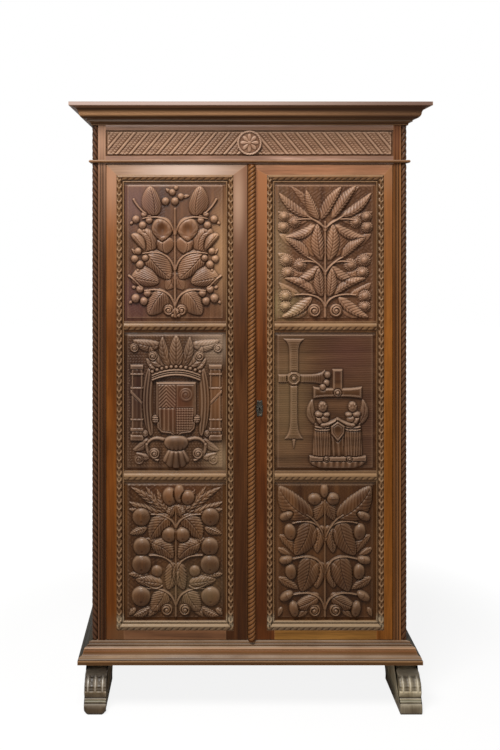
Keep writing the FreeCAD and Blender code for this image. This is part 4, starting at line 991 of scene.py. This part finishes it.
def garlandStrip(start, along, across, length, width, kind, pitch, front, mitres=(0.0, 0.0)):
    # One strip: start is its corner, along and across are directions in x and z. An upright's ridge has a row
    # of V-shaped leaves: thin arms at (v - 9 |off|) / pitch near 0.16 stand over a sunk body, with a deep nick
    # in the middle above each point and one at each side below the arms. A level strip has a plain upper half
    # and a lower half twisted like a rope. Where it is mitred, its ends run
    # back by mitre * t, with t from the outer edge, 0, to the inner one, 1.
    s = garland
    rows = int(length / s["step"]) + 1
    t = np.linspace(0, 1, s["points"])[None, :]
    share = np.linspace(0, 1, rows)[:, None]
    v = mitres[0] * t + share * (length - (mitres[0] + mitres[1]) * t)
    depth = mouldingDepth(t, kind) + 0 * v
    top, span = (0.5, 0.32) if kind == "middle" else (0.35, 0.35)
    off = (t - top) / span + 0 * v
    onRidge = np.clip((1 - np.abs(off)) / 0.12, 0, 1)
    if kind == "upright":
        uneven = 1.2 * np.sin(v * 0.071) + 0.8 * np.sin(v * 0.19 + 1)
        phase = ((v + uneven - np.abs(off) * 9) / pitch) % 1.0
        arm = dome(((phase - 0.16) / 0.17) ** 2)
        nick = dome((off / 0.24) ** 2) * dome(((phase - 0.56) / 0.26) ** 2)
        side = dome(((np.abs(off) - 0.86) / 0.34) ** 2) * dome(((phase - 0.72) / 0.26) ** 2)
        cut = s["depth"] * onRidge * np.clip(0.4 - 0.4 * arm + 0.6 * nick + 0.6 * side, 0, 1)
    else:
        down = off if across[1] < 0 else -off
        twisted = np.clip((down + 0.12) / 0.2, 0, 1)
        cut = onRidge * twisted * (0.8 + grooved((v + 9 * down) / pitch, s["channel"]))
    # painted shade in the cuts, wear with a painted highlight on what stands up
    mean = softened(depth + cut, 3)
    hollow = np.clip((depth + cut - mean) / 1.1, 0, 1)
    worn = np.clip((mean - depth - cut) / 0.9, 0, 1)
    front = front + (depth + cut) * mm
    seat = front[:, :1] * 0 + start[1] + s["seat"] * mm
    Y = np.concatenate([seat, front, seat], 1)
    T = np.concatenate([[[0.0]], t, [[1.0]]], 1) * width
    V = np.concatenate([v[:, :1], v, v[:, -1:]], 1)
    X = start[0] + (along[0] * V + across[0] * T) * mm
    Z = start[2] + (along[1] * V + across[1] * T) * mm
    pad = 0 * seat
    return shell(np.stack([X, Y, Z], -1), np.concatenate([pad, hollow, pad], 1),
                 np.concatenate([pad, worn, pad], 1))


doorMouldings = {"width": 26.0, "middle": 38.0, "bottom": 31.0}


def carveMouldings(side, material):
    # Two uprights and a top and a bottom strip, mitred at the corners, and two strips that butt between them.
    s = doorMouldings
    node = "door_%s_mouldings" % side
    low, high, wide, tall = measured(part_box(node))
    face = low.y + garland["rise"] * mm
    parts = []
    for x, way in ((low.x, 1), (high.x, -1)):
        parts.append(garlandStrip((x, face, low.z), (0, 1), (way, 0), tall, s["width"], "upright",
                                  garland["pitchUp"], face, (s["bottom"], s["width"])))
    levels = [(high.z, -1, s["width"], "level", 0), (low.z, 1, s["bottom"], "level", 0)]
    clear = (tall - s["width"] - s["bottom"] - 2 * s["middle"]) / 3
    for row in (1, 2):
        top = low.z + (s["bottom"] + row * (clear + s["middle"])) * mm
        levels.append((top, -1, s["middle"], "middle", s["width"]))
    for z, way, width, kind, inset in levels:
        cut = s["width"] if inset == 0 else 0.0
        parts.append(garlandStrip((low.x + inset * mm, face, z), (1, 0), (0, way), wide - 2 * inset, width,
                                  kind, garland["pitchAcross"], face, (cut, cut)))
    makePiece(node + "_carved", parts, material, "door_" + side, [node], 70)


# The frieze: slanting bands to both sides of a rosette

friezeSettings = {
    "pitch": 47.0, "lean": 0.84, "step": 1.5, "tongue": 5.0, "border": 7.0, "rise": 4.0,
    "rib": 0.28, "leafPitch": 9.0,
}


def friezePanel(material):
    # Bands at u = (|x| - lean * z) / pitch: a smooth half-round rib, then two rows of lapped leaf strokes.
    s = friezeSettings
    low, high, wide, tall = measured(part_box("frieze_panel"))
    centre = (low + high) / 2
    X, Z, edges, onField = reliefGrid(wide, tall, s, (1.0, s["border"]))
    u = ((np.abs(X) + s["lean"] * Z) / s["pitch"]) % 1.0
    rib = 3.6 * dome(((u - s["rib"] / 2) / (s["rib"] / 2)) ** 2)
    b = (u - s["rib"] - 0.04) / (1 - s["rib"] - 0.08)
    run = (Z * math.hypot(1, s["lean"]) + 6 * np.abs(b - 0.5) * 2) / s["leafPitch"]
    strokes = 0.45 + 0.55 * np.abs(np.sin(np.pi * run))
    band = 2.6 * dome((2 * b - 1) ** 4) * strokes * (1 - 0.45 * np.exp(-((b - 0.5) / 0.08) ** 2))
    carving = np.where(u < s["rib"], rib, np.where((b > 0) & (b < 1), band, 0))
    height = np.where(onField, s["rise"] + carving - 1.5, 0)
    # painted shade in the hollows, wear with a painted highlight on the ridges
    hollow, worn = wearOf(height)
    # the sunk border gets a little painted shade, and is painted lighter above the field, not as dark as the
    # hollows of the carving
    hollow = np.where(onField, hollow, 0.1)
    worn = np.where(onField | (Z < edges[1]), worn, 0.8)
    front = low.y + s["rise"] * mm
    points = np.stack([centre.x + X * mm, front - height * mm, centre.z + Z * mm], -1)
    makePiece("frieze_panel_carved", [slab(points, high.y, hollow, worn)], material, "carcass",
              ["frieze_panel"], 80)


rosette = {"petals": 8, "rings": 34, "around": 120, "rope": 26}


def friezeMedallion(material):
    # A disc on rings and spokes: a rope ring at the rim, then eight petals round a boss.
    s = rosette
    low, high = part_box("frieze_medallion")
    centre = (low + high) / 2
    radius = (high.x - low.x) / 2
    share = np.linspace(0.02, 1, s["rings"])[:, None]
    angle = np.linspace(0, 2 * np.pi, s["around"], endpoint=False)[None, :]
    twist = 0.75 + 0.25 * np.cos(s["rope"] * angle + 5 * (share - 0.9) / 0.1)
    rope = 5.0 * dome(((share - 0.91) / 0.085) ** 2) * twist
    petal = np.abs(np.cos(s["petals"] * angle / 2))
    reach = 0.34 + 0.42 * petal ** 0.7
    petals = 4.4 * dome(((share - 0.2) / np.maximum(reach - 0.2, 0.05)) ** 4) * (0.55 + 0.45 * petal)
    petals = petals * (share < reach)
    boss = 5.5 * dome((share / 0.2) ** 2) + 0 * angle
    height = np.maximum(np.maximum(rope, petals), np.maximum(boss, 1.0))
    # painted shade in the hollows, wear with a painted highlight on the ridges
    hollow, worn = wearOf(height)
    # painted shade round the rope ring, inside and outside
    hollow = np.maximum(hollow, (np.abs(share - 0.79) < 0.035) + (share > 0.98) + 0.0 * angle)
    r = share * radius + 0 * angle
    front = low.y + (6.0 - height) * mm
    points = np.stack([centre.x + r * np.cos(angle), front, centre.z + r * np.sin(angle)], -1)
    back = points[-1:].copy()
    back[..., 1] = high.y
    pad = np.zeros((1, s["around"]))
    part = shell(np.concatenate([points, back]), np.concatenate([hollow, pad]), np.concatenate([worn, pad]))
    makePiece("frieze_medallion_carved", [part], material, "carcass", ["frieze_medallion"], 70)


# The feet: the runner's outline carried across its width, fluted on the knee, with small bars in the flutes

footSettings = {
    "flutes": 3, "fluteDepth": 5.0, "across": 61, "round": 3.0, "bar": 11.0,
    "neckY": -0.142, "reach": 0.097,            # metres
    "fluteLow": 0.42, "fluteHigh": 0.705,       # shares of the height
    "archFront": 0.021, "archBack": 0.176, "archHigh": 0.045, "archRound": 0.030,  # metres
    "wornBack": 16.0,                           # mm that a worn toe lacks at its corners
}
# the front outline from the neck to the toe: share of the reach, share of the height, and the arcs' middles
footFront = [
    ("line", (0.0, 0.71)), ("line", (0.06, 0.71)), ("arc", (0.59, 0.69), (0.87, 0.54)),
    ("arc", (0.88, 0.41), (0.79, 0.29)), ("line", (0.85, 0.28)), ("line", (0.85, 0.245)),
    ("line", (0.89, 0.24)), ("line", (0.89, 0.2)), ("line", (0.97, 0.195)),
    ("arc", (1.0, 0.12), (1.0, 0.04)), ("line", (0.95, 0.0)),
]


def arcPoints(a, b, c, count):
    # points on the circle through a, b and c, from a to c
    a, b, c = np.array(a), np.array(b), np.array(c)
    m = np.array([b - a, c - a]) * 2
    middle = np.linalg.solve(m, np.array([b @ b - a @ a, c @ c - a @ a]))
    angles = np.arctan2(*(np.array([a, b, c]) - middle).T[::-1])
    turn = np.unwrap(angles)
    radius = np.linalg.norm(a - middle)
    t = np.linspace(turn[0], turn[2], count)
    return np.stack([middle[0] + radius * np.cos(t), middle[1] + radius * np.sin(t)], -1)[1:]


def carveFoot(node, wornToe, material):
    # Points of the closed outline, in y and z, times places across x. The knee's flutes and the rounded
    # side edges push each point back along the outline's inward normal.
    s = footSettings
    low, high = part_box(node)
    wide, tall = (high.x - low.x) / mm, high.z - low.z

    def place(pair):
        # shares of the reach and of the height as y and z: neck - share * reach, low + share * tall
        return (s["neckY"] - pair[0] * s["reach"], low.z + pair[1] * tall)

    path = [np.array([place((0.0, 1.0))])]
    here = place((0.0, 1.0))
    for move in footFront:
        there = place(move[-1])
        if move[0] == "line":
            count = max(int(math.dist(here, there) / (2.5 * mm)), 1)
            path.append(np.linspace(here, there, count + 1)[1:])
        else:
            path.append(arcPoints(here, place(move[1]), there, 22))
        here = there
    path.append(np.array([[s["archFront"], low.z]]))
    for end, way in ((s["archFront"], 1), (s["archBack"], -1)):
        quarter = np.linspace(0, np.pi / 2, 9)[::way]
        path.append(np.stack([end + way * s["archRound"] * (1 - np.cos(quarter)),
                              s["archHigh"] - s["archRound"] * (1 - np.sin(quarter))], -1))
    path.append(np.array([[s["archBack"], low.z], [high.y, low.z], [high.y, high.z]]))
    ring = np.concatenate(path)
    run = np.roll(ring, -1, 0) - np.roll(ring, 1, 0)
    normal = np.stack([-run[:, 1], run[:, 0]], -1) / np.maximum(np.linalg.norm(run, axis=1), 1e-9)[:, None]
    area = np.sum(ring[:, 0] * np.roll(ring[:, 1], -1) - np.roll(ring[:, 0], -1) * ring[:, 1])
    inward = normal * (1 if area > 0 else -1)
    rim = np.array([0, 0.4, 1.2, 2.2])
    across = np.concatenate([rim, np.linspace(s["round"], wide - s["round"], s["across"]), (wide - rim)[::-1]])
    fromSide = np.minimum(across, wide - across)
    curve = np.sqrt(np.clip(1 - (1 - fromSide / s["round"]) ** 2, 0, 1))
    push = s["round"] * (1 - curve) * (fromSide < s["round"])
    push = push[:, None] + 0 * ring[None, :, 0]
    share = (ring[:, 1] - low.z) / tall
    front = ring[:, 0] < s["neckY"] + 0.001
    onKnee = np.clip((share - s["fluteLow"]) / 0.03, 0, 1) * np.clip((s["fluteHigh"] - share) / 0.02, 0, 1)
    onKnee = onKnee * front
    lane = across / wide * s["flutes"] + 0.5
    groove = np.sqrt(np.clip(1 - ((lane % 1.0) * 2 - 1) ** 2 / 0.7, 0, 1))
    bars = 1 - 0.4 * np.clip(np.sin((share * tall / mm) * 2 * np.pi / s["bar"]) * 2, 0, 1)
    push = push + s["fluteDepth"] * groove[:, None] * (onKnee * bars)[None, :]
    if wornToe:
        toe = np.clip((0.17 - share) / 0.17, 0, 1) * front
        corner = np.clip(1 - fromSide / 16, 0, 1) ** 2
        push = push + s["wornBack"] * corner[:, None] * toe[None, :] ** 1.5
    Y = ring[None, :, 0] + inward[None, :, 0] * push * mm
    Z = np.maximum(ring[None, :, 1] + inward[None, :, 1] * push * mm, low.z)
    Z = np.minimum(Z, high.z)
    X = low.x + across[:, None] * mm + 0 * Y
    # painted shade in the flutes, wear with a painted highlight on the knee
    hollow = np.clip(groove[:, None] * onKnee[None, :] * 1.2 - 0.3, 0, 1)
    worn = np.clip(1 - push / 0.8, 0, 1) * onKnee[None, :]
    part = shell(np.stack([X, Y, Z], -1), hollow, worn)
    makePiece(node + "_carved", [part], material, "carcass", [node], 40)


# The keyhole plate

plateSettings = {
    "rings": 12, "around": 96, "keyRadius": 3.2, "slotHalf": 1.5, "slotDrop": 9.0, "rise": 3.2, "lobes": 10,
}


def keyholePlate(material):
    # Rings between the keyhole and the plate's edge: r = inner + share * (outer - inner), per angle.
    s = plateSettings
    low, high, wide, tall = measured(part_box("escutcheon"))
    centre = (low + high) / 2
    halfWide, halfTall = wide / 2, tall / 2
    angle = np.linspace(-np.pi, np.pi, s["around"], endpoint=False)[None, :]
    c, n = np.cos(angle), np.sin(angle)
    slot = np.minimum(s["slotHalf"] / np.maximum(np.abs(c), 1e-6), s["slotDrop"] / np.maximum(-n, 1e-6))
    inner = np.where(n < 0, np.maximum(np.minimum(slot, s["slotDrop"] * 1.05), s["keyRadius"]), s["keyRadius"])
    oval = (np.abs(c / (halfWide * 0.95)) ** 3 + np.abs(n / (halfTall * 0.95)) ** 3) ** (-1 / 3)
    outer = np.minimum(oval * (1 + 0.1 * np.cos(s["lobes"] * angle)), halfTall)
    outer = np.minimum(outer, halfWide / np.maximum(np.abs(c), 1e-6))
    share = np.linspace(0, 1, s["rings"])[:, None]
    r = inner + share * (outer - inner)
    height = 0.35 + 0.35 * dome(((share - 0.86) / 0.16) ** 2) + 0.3 * dome(((share - 0.1) / 0.2) ** 2)
    height = s["rise"] * (height + 0.2 * np.cos(s["lobes"] * angle) * np.sin(np.pi * share))
    height = height * np.where(share == 1, 0.3, 1)
    front = high.y - height * mm
    points = np.stack([centre.x + r * c * mm, front, centre.z + r * n * mm], -1)
    back = points[::-1].copy()
    back[..., 1] = high.y
    makePiece("escutcheon_cast", [shell(np.concatenate([points, back]), wrapRows=True)], material, "door_right",
              ["escutcheon"], 50)


# Finishes by piece

print("mixing finishes")
# pale bands of dust and painted highlight, and dark bands of painted shade, along the cornice and the base
caseBands = (
    (2094.0, 8.5, "#a5928a"), (2084.5, 3.0, "#7c5844"), (2078.0, 4.5, "#2c1608"), (2064.0, 8.5, "#cd9a6e"),
    (2051.0, 3.4, "#1e0c02"), (2041.5, 3.0, "#8c7864"), (2033.0, 2.8, "#281008"),
    (231.0, 2.4, "#9a8b7e"), (227.0, 1.6, "#4e3c2a"), (219.5, 3.0, "#a88264"), (211.0, 4.5, "#7c4e2c"),
    (203.0, 4.0, "#5c3c20"), (189.0, 4.0, "#94867a"), (186.0, 1.6, "#3e2816"), (183.4, 2.0, "#a8805a"),
    (176.0, 6.0, "#482e18"),
)
# dark painted shadow lines above and below a grey-green band, and a darker toe
footBands = ((50.5, 2.4, "#14100a"), (42.3, 5.0, "#8c8a74"), (36.0, 2.0, "#14100a"), (8.0, 40.0, "#2e2012"))
panelLook = {"carved": True, "blotch": 0.24, "gloss": 0.13, "roughness": 0.3}


def finished(name, seed, tones, **changes):
    # tones are the dark, the middle and the light one
    dark, mid, light = tones.split()
    return oiledWood(name, seed=seed, dark=dark, mid=mid, light=light, **changes)


finishes = {
    # the first patch is painted sheen high on the stile
    "hingeLeft": finished("oiled_wood_amber_left", 1.0, "#4e2608 #61330d #744316", bloom="#a0745a",
        bloomMost=0.15, patches=((-477, 1850, 70, 230, "#a07a60", 0.6),
        (-440, 250, 110, 110, "#5e4028", 0.8))),
    "hingeRight": finished("oiled_wood_amber_right", 1.7, "#5c330c #714114 #824e1d", bloom="#74503a",
        bloomMost=0.4, patches=((482, 1860, 60, 120, "#8a6244", 0.5),)),
    # the patch is painted sheen high on the stile
    "meetingLeft": finished("oiled_wood_plum_left", 2.0, "#2f180a #3c200c #4f2e16", bloom="#8a624a",
        bloomMost=0.55, patches=((-40, 1765, 34, 190, "#a4846c", 0.6),)),
    "meetingRight": finished("oiled_wood_umber_right", 3.0, "#3f1e09 #542b0f #693917", bloom="#986440",
        bloomMost=0.68),
    # the patch is painted sheen across the rail
    "topRailLeft": finished("rubbed_wood_rail_left", 4.0, "#71533d #876852 #9a7c64", grain="X",
        patches=((-224, 1880, 260, 200, "#ac9484", 1.0),)),
    "topRailRight": finished("rubbed_wood_rail_right", 4.4, "#6e452e #81573d #92694d", grain="X"),
    "levelRail": finished("oiled_wood_level", 5.0, "#573c20 #6b4c2c #84633f", grain="X"),
    "bottomLeft": finished("oiled_wood_level_left", 5.3, "#583a26 #6c482f #815e42", grain="X"),
    "bottomRight": finished("oiled_wood_level_right", 5.7, "#67431c #815827 #9c7035", grain="X"),
    # the post's lines draw its fine mouldings in painted light and shade
    "postLeft": finished("oiled_wood_post_left", 6.0, "#2a1408 #371c0c #472815",
        lines=((524.0, 3.0, "#6a4834"), (518.0, 2.0, "#1c0a03"), (512.5, 3.0, "#482a16"),
        (507.0, 2.0, "#1c0a03")), gloss=0.06, patches=((-520, 1990, 70, 160, "#b48c72", 0.45),),
        bloom="#8a664e", bloomFrom=1.5, bloomMost=0.6),
    # the post's lines draw its fine mouldings in painted light and shade
    "postRight": finished("oiled_wood_post_right", 6.5, "#4c2a12 #5e3819 #72482a",
        lines=((524.0, 3.0, "#8a5e38"), (518.0, 2.0, "#281004"), (512.5, 3.0, "#6e4a2c"),
        (507.0, 2.0, "#281004")), gloss=0.06, patches=((520, 1990, 100, 150, "#5e3a2a", 0.55),)),
    # a painted highlight band under the cornice, a painted shadow line below it, and the right side made darker
    "friezeRail": finished("oiled_wood_frieze_rail", 7.0, "#654a39 #806151 #a28373", grain="X",
        dust="#a78f80", bands=((2027.0, 5.0, "#dcc0b0"), (2014.0, 4.5, "#6a4e3a")),
        patches=((380, 2022, 420, 30, "#6a4c3a", 0.7),)),
    "caseFront": finished("oiled_wood_case", 8.0, "#492e17 #644425 #7c5c39", grain="X", dust="#a09080",
        dustMost=0.6, bloom="#6c4a33", bloomMost=0.4, bands=caseBands,
        patches=((660, 2080, 860, 75, "#4a3022", 0.85),)),
    "caseSide": finished("oiled_wood_side", 9.0, "#46290f #643c1c #80552f"),
    # painted shade: the base's side returns are made dark as they lie in shade
    "sideLow": finished("oiled_wood_side_low", 10.5, "#1c1910 #2b261a #3c3524", grain="Y", dustMost=0.04,
        gloss=0.03, wornTone="#5a5040"),
    "sideMould": finished("oiled_wood_side_level", 10.0, "#492e17 #644425 #7c5c39", grain="Y", dust="#a09080",
        dustMost=0.75, bloom="#6c4a33", bloomMost=0.4, bands=caseBands, gloss=0.04),
    "carvedTopLeft": finished("carved_wood_rosy", 11.0, "#402616 #543622 #694830", wornTone="#a07c62",
        patches=((-99, 1590, 60, 260, "#a67e58", 0.6), (-398, 1764, 120, 150, "#5e4444", 0.5),
        (-408, 1416, 120, 160, "#4a2c30", 0.5), (-259, 1640, 120, 120, "#6b4428", 0.4)), **panelLook),
    "carvedTopRight": finished("carved_wood_tan", 11.6, "#472b19 #5d3c26 #745035", wornTone="#a07c62",
        patches=((106, 1590, 50, 300, "#977b58", 0.5), (123, 1399, 100, 90, "#a08c60", 0.45),
        (300, 1560, 140, 200, "#4f3420", 0.35)), **panelLook),
    "carvedMiddleLeft": finished("carved_wood_plum", 12.0, "#301b0d #3f2816 #533823", wornTone="#8d705a",
        patches=((-115, 1262, 130, 100, "#98806a", 0.6), (-105, 1069, 75, 170, "#7e5434", 0.5),
        (-95, 868, 95, 85, "#92785a", 0.6), (-398, 1100, 110, 280, "#33201c", 0.55),
        (-255, 1050, 100, 130, "#5a3020", 0.45)), **panelLook),
    "carvedMiddleRight": finished("carved_wood_olive", 12.6, "#341e0f #452c19 #5a3d27", grain="X",
        wornTone="#8d705a", patches=((135, 1069, 120, 320, "#70583a", 0.55),
        (349, 1235, 150, 150, "#4c2a22", 0.55), (430, 1000, 80, 300, "#4a2c20", 0.4)), **panelLook),
    "carvedBottomLeft": finished("carved_wood_umber", 13.0, "#391f0c #4a2c13 #5f3c1e", wornTone="#846850",
        patches=((-207, 420, 190, 120, "#6c5e42", 0.4), (-259, 760, 200, 60, "#6a3f22", 0.5)), **panelLook),
    "carvedBottomRight": finished("carved_wood_brown_dark", 13.6, "#351c0b #452913 #59381d",
        wornTone="#7c6048", patches=((120, 520, 70, 280, "#4e2e14", 0.4),
        (330, 600, 120, 260, "#54361e", 0.3)), **panelLook),
    "frieze": finished("carved_wood_faded", 14.0, "#543826 #634531 #755741", grain="X", carved=True,
        wornTone="#b8967c", hollowTone="#38200e", hollowMost=0.6),
    "medallion": finished("carved_wood_faded_disc", 14.5, "#6a4a36 #7c5a44 #907058", carved=True,
        wornTone="#c4a48c", hollowTone="#38200e", hollowMost=0.6),
    "moulding": finished("carved_wood_brown", 15.0, "#412610 #533218 #664628", carved=True,
        wornTone="#8f7050", hollowTone="#2c1608", fibre=4.0, blotch=0.18, gloss=0.12, roughness=0.3,
        bands=((300.0, 34.0, "#9a8c74"), (282.0, 5.0, "#46301e"), (804.7, 30.0, "#6f553a")),
        patches=((-68, 1100, 45, 1000, "#301808", 0.62), (-259, 1326, 220, 60, "#2c1808", 0.62),
        (264, 1326, 200, 32, "#8c6c4e", 0.5))),
    "ropeLeft": finished("turned_wood_plum", 16.0, "#190802 #210e03 #2c1506", carved=True, wornTone="#74503a",
        hollowTone="#140804"),
    "ropeRight": finished("turned_wood_brown", 17.0, "#270e02 #331604 #402009", carved=True,
        wornTone="#6e5038", hollowTone="#160a03"),
    "coverStrip": finished("carved_wood_strip_amber", 17.6, "#3a1804 #4a2307 #5c2f0d", carved=True,
        wornTone="#94683e", hollowTone="#220e03"),
    "footLeft": finished("weathered_foot_brown", 18.0, "#5a482e #786449 #9e8a6f", carved=True,
        wornTone="#c0b8ac", hollowTone="#2a2016", underTone="#3c2a1a", hollowMost=0.85, topMost=0.25,
        dust="#8a8070", roughness=0.35, blotch=0.3, gloss=0.3, bands=footBands),
    "footRight": finished("weathered_foot_grey", 18.4, "#857458 #aa9a7c #ccbd9f", carved=True,
        wornTone="#c0b8a8", hollowTone="#382e20", underTone="#4a3e2c", hollowMost=0.85, topMost=0.25,
        dust="#958b7c", roughness=0.4, blotch=0.3, gloss=0.25, bands=footBands),
    "inner": finished("plain_inner_board", 19.0, "#6b4a2c #876242 #a37e5a", grain="X", roughness=0.6,
        dustMost=0.2),
    "backBoard": finished("plain_back_board", 20.0, "#6b4a2c #876242 #a37e5a", roughness=0.65, dustMost=0.2),
    "iron": darkMetal("forged_iron_browned", ("#2c2824", "#45403a", "#5e5850"), 0.5, 4.0),
    "bronze": darkMetal("cast_bronze_darkened", ("#1c1a14", "#35312a", "#7a705e"), 0.5, 2.5, 0.7),
}

finishNodes = {
    "caseFront": "base_front ledge_moulding cornice_front",
    "sideLow": "base_left base_right",
    "sideMould": "cornice_left cornice_right",
    "inner": "base_back floor_board top_board shelf_lower shelf_upper shelf_cleats",
    "postLeft": "post_front_left", "postRight": "post_front_right",
    "caseSide": "post_back_left post_back_right side_rails_left side_rails_right side_panels_left"
                " side_panels_right",
    "backBoard": "back_boards",
    "friezeRail": "frieze_rail_lower frieze_rail_upper",
    "levelRail": "door_left_rails_middle door_right_rails_middle",
    "iron": "pivot_pins door_left_pivot_bushes door_right_pivot_bushes bolt_guides bolt_rod_top"
            " bolt_rod_bottom lock_case lock_bolt",
}
for side in ("Left", "Right"):
    door = "door_" + side.lower()
    finishNodes.update({"hinge" + side: door + "_stile_hinge", "meeting" + side: door + "_stile_meeting",
                        "topRail" + side: door + "_rail_top", "bottom" + side: door + "_rail_bottom"})

for finish, nodes in finishNodes.items():
    for node in nodes.split():
        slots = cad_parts[node].data.materials
        for index in range(max(len(slots), 1)):
            if len(slots) <= index:
                slots.append(finishes[finish])
            else:
                slots[index] = finishes[finish]

# The carved pieces

print("carving panels")
panelDrawings = {
    "door_left_panel_top": (drawBerryPanel, 0.15, 0.15, "carvedTopLeft"),
    "door_left_panel_middle": (drawShieldPanel, 0.1, 0.1, "carvedMiddleLeft"),
    "door_left_panel_bottom": (drawFruitPanel, 0.3, 0.75, "carvedBottomLeft"),
    "door_right_panel_top": (drawBurrPanel, 0.3, 0.8, "carvedTopRight"),
    "door_right_panel_middle": (drawFigurePanel, 0.0, 0.0, "carvedMiddleRight"),
    "door_right_panel_bottom": (drawAcornPanel, 0.25, 0.35, "carvedBottomRight"),
}
for node, (draw, tooling, ground, finish) in panelDrawings.items():
    carvedPanel(node, draw, tooling, ground, finishes[finish], "door_left" if "left" in node else "door_right")
friezePanel(finishes["frieze"])
friezeMedallion(finishes["medallion"])
for side in ("left", "right"):
    carveMouldings(side, finishes["moulding"])
    way = 1 if side == "left" else -1
    rope = finishes["ropeLeft" if side == "left" else "ropeRight"]
    ropeColumn("rope_column_" + side, way, rope)
    ropeColumn("frieze_rope_" + side, way, rope)
    carveFoot("foot_runner_" + side, side == "left", finishes["foot" + side.capitalize()])
ropeStrip("rope_astragal", finishes["coverStrip"])
keyholePlate(finishes["bronze"])


# Floor, light and camera

studio = {
    "floorHalf": 12.0, "floorColour": "#b4b2b0",
    "glow": 1.18, "glowNear": 0.74, "fadeFrom": 1.0, "fadeTo": 2.4, "skyToObject": 0.22,
    "keyPlace": (-0.9, -2.3, 4.3), "keyAim": (0.0, -0.2, 1.1), "keySize": 1.5, "keyPower": 235.0,
    "fillPlace": (-0.5, -3.6, 2.2), "fillAim": (0.0, -0.2, 1.1), "fillSize": 0.8, "fillPower": 24.0,
}
cameraSettings = {
    "place": (-0.1872, -3.4816, 1.6802), "lens": 45.42, "shiftX": 0.0725, "shiftY": -0.20,
}


def makeFloor():
    # Matt white boards of paint: the object's soft shadow shows near it, and further off the floor
    # fades to the white of the background by smoothstep of the distance from the middle.
    s = studio
    h = s["floorHalf"]
    mesh = bpy.data.meshes.new("floor")
    mesh.from_pydata([(-h, -h, 0), (h, -h, 0), (h, h, 0), (-h, h, 0)], [], [(0, 1, 2, 3)])
    paint = emptyMaterial("pale_floor_paint")
    diffuse = addNode(paint, "BsdfDiffuse", {"Color": linear(s["floorColour"])}).outputs["BSDF"]
    place = addNode(paint, "TexCoord").outputs["Object"]
    away = addNode(paint, "VectorMath", {"operation": "LENGTH"}, {0: place}).outputs["Value"]
    faded = addNode(paint, "MapRange", {"From Min": s["fadeFrom"], "From Max": s["fadeTo"],
                                        "To Min": s["glowNear"], "interpolation_type": "SMOOTHSTEP"},
                    {"Value": away}).outputs["Result"]
    glow = addNode(paint, "Emission", {"Color": (1, 1, 1, 1), "Strength": s["glow"]}).outputs["Emission"]
    seen = addNode(paint, "LightPath").outputs["Is Camera Ray"]
    seen = addNode(paint, "Math", {"operation": "MULTIPLY"}, {0: seen, 1: faded}).outputs[0]
    mixed = addNode(paint, "MixShader", {}, {0: seen, 1: diffuse, 2: glow}).outputs["Shader"]
    addNode(paint, "OutputMaterial", {}, {"Surface": mixed})
    mesh.materials.append(paint)
    floor = bpy.data.objects.new("floor", mesh)
    bpy.context.scene.collection.objects.link(floor)


def makeLamp(name):
    # a square soft box, turned towards its aim
    s = studio
    lamp = bpy.data.lights.new(name, "AREA")
    lamp.shape = "SQUARE"
    lamp.size = s[name + "Size"]
    lamp.energy = s[name + "Power"]
    holder = bpy.data.objects.new(name, lamp)
    holder.location = s[name + "Place"]
    toward = Vector(s[name + "Aim"]) - Vector(s[name + "Place"])
    holder.rotation_euler = toward.to_track_quat("-Z", "Y").to_euler()
    bpy.context.scene.collection.objects.link(holder)


def makeSky():
    # white to the eye and in reflections, and a softer light on the object
    sky = bpy.data.worlds.new("soft_studio")
    sky.use_nodes = True
    sky.node_tree.nodes.clear()
    path = addNode(sky, "LightPath").outputs
    seen = path["Is Camera Ray"]
    for ray in ("Is Glossy Ray", "Is Transmission Ray"):
        seen = addNode(sky, "Math", {"operation": "MAXIMUM"}, {0: seen, 1: path[ray]}).outputs[0]
    lit = addNode(sky, "Background", {"Color": (1, 1, 1, 1), "Strength": studio["skyToObject"]})
    shown = addNode(sky, "Background", {"Color": (1, 1, 1, 1), "Strength": 1.0})
    mixed = addNode(sky, "MixShader", {}, {0: seen, 1: lit.outputs[0], 2: shown.outputs[0]}).outputs["Shader"]
    addNode(sky, "OutputWorld", {}, {"Surface": mixed})
    bpy.context.scene.world = sky


def makeCamera():
    # a level camera whose shifted lens keeps upright lines upright
    s = cameraSettings
    camera = bpy.data.cameras.new("camera")
    camera.lens = s["lens"]
    camera.sensor_width = 36.0
    camera.shift_x = s["shiftX"]
    camera.shift_y = s["shiftY"]
    holder = bpy.data.objects.new("camera", camera)
    holder.location = s["place"]
    holder.rotation_euler = (math.radians(90), 0, 0)
    bpy.context.scene.collection.objects.link(holder)
    bpy.context.scene.camera = holder


print("lighting")
makeFloor()
makeLamp("key")
makeLamp("fill")
makeSky()
makeCamera()
bpy.context.scene.view_settings.view_transform = "Standard"
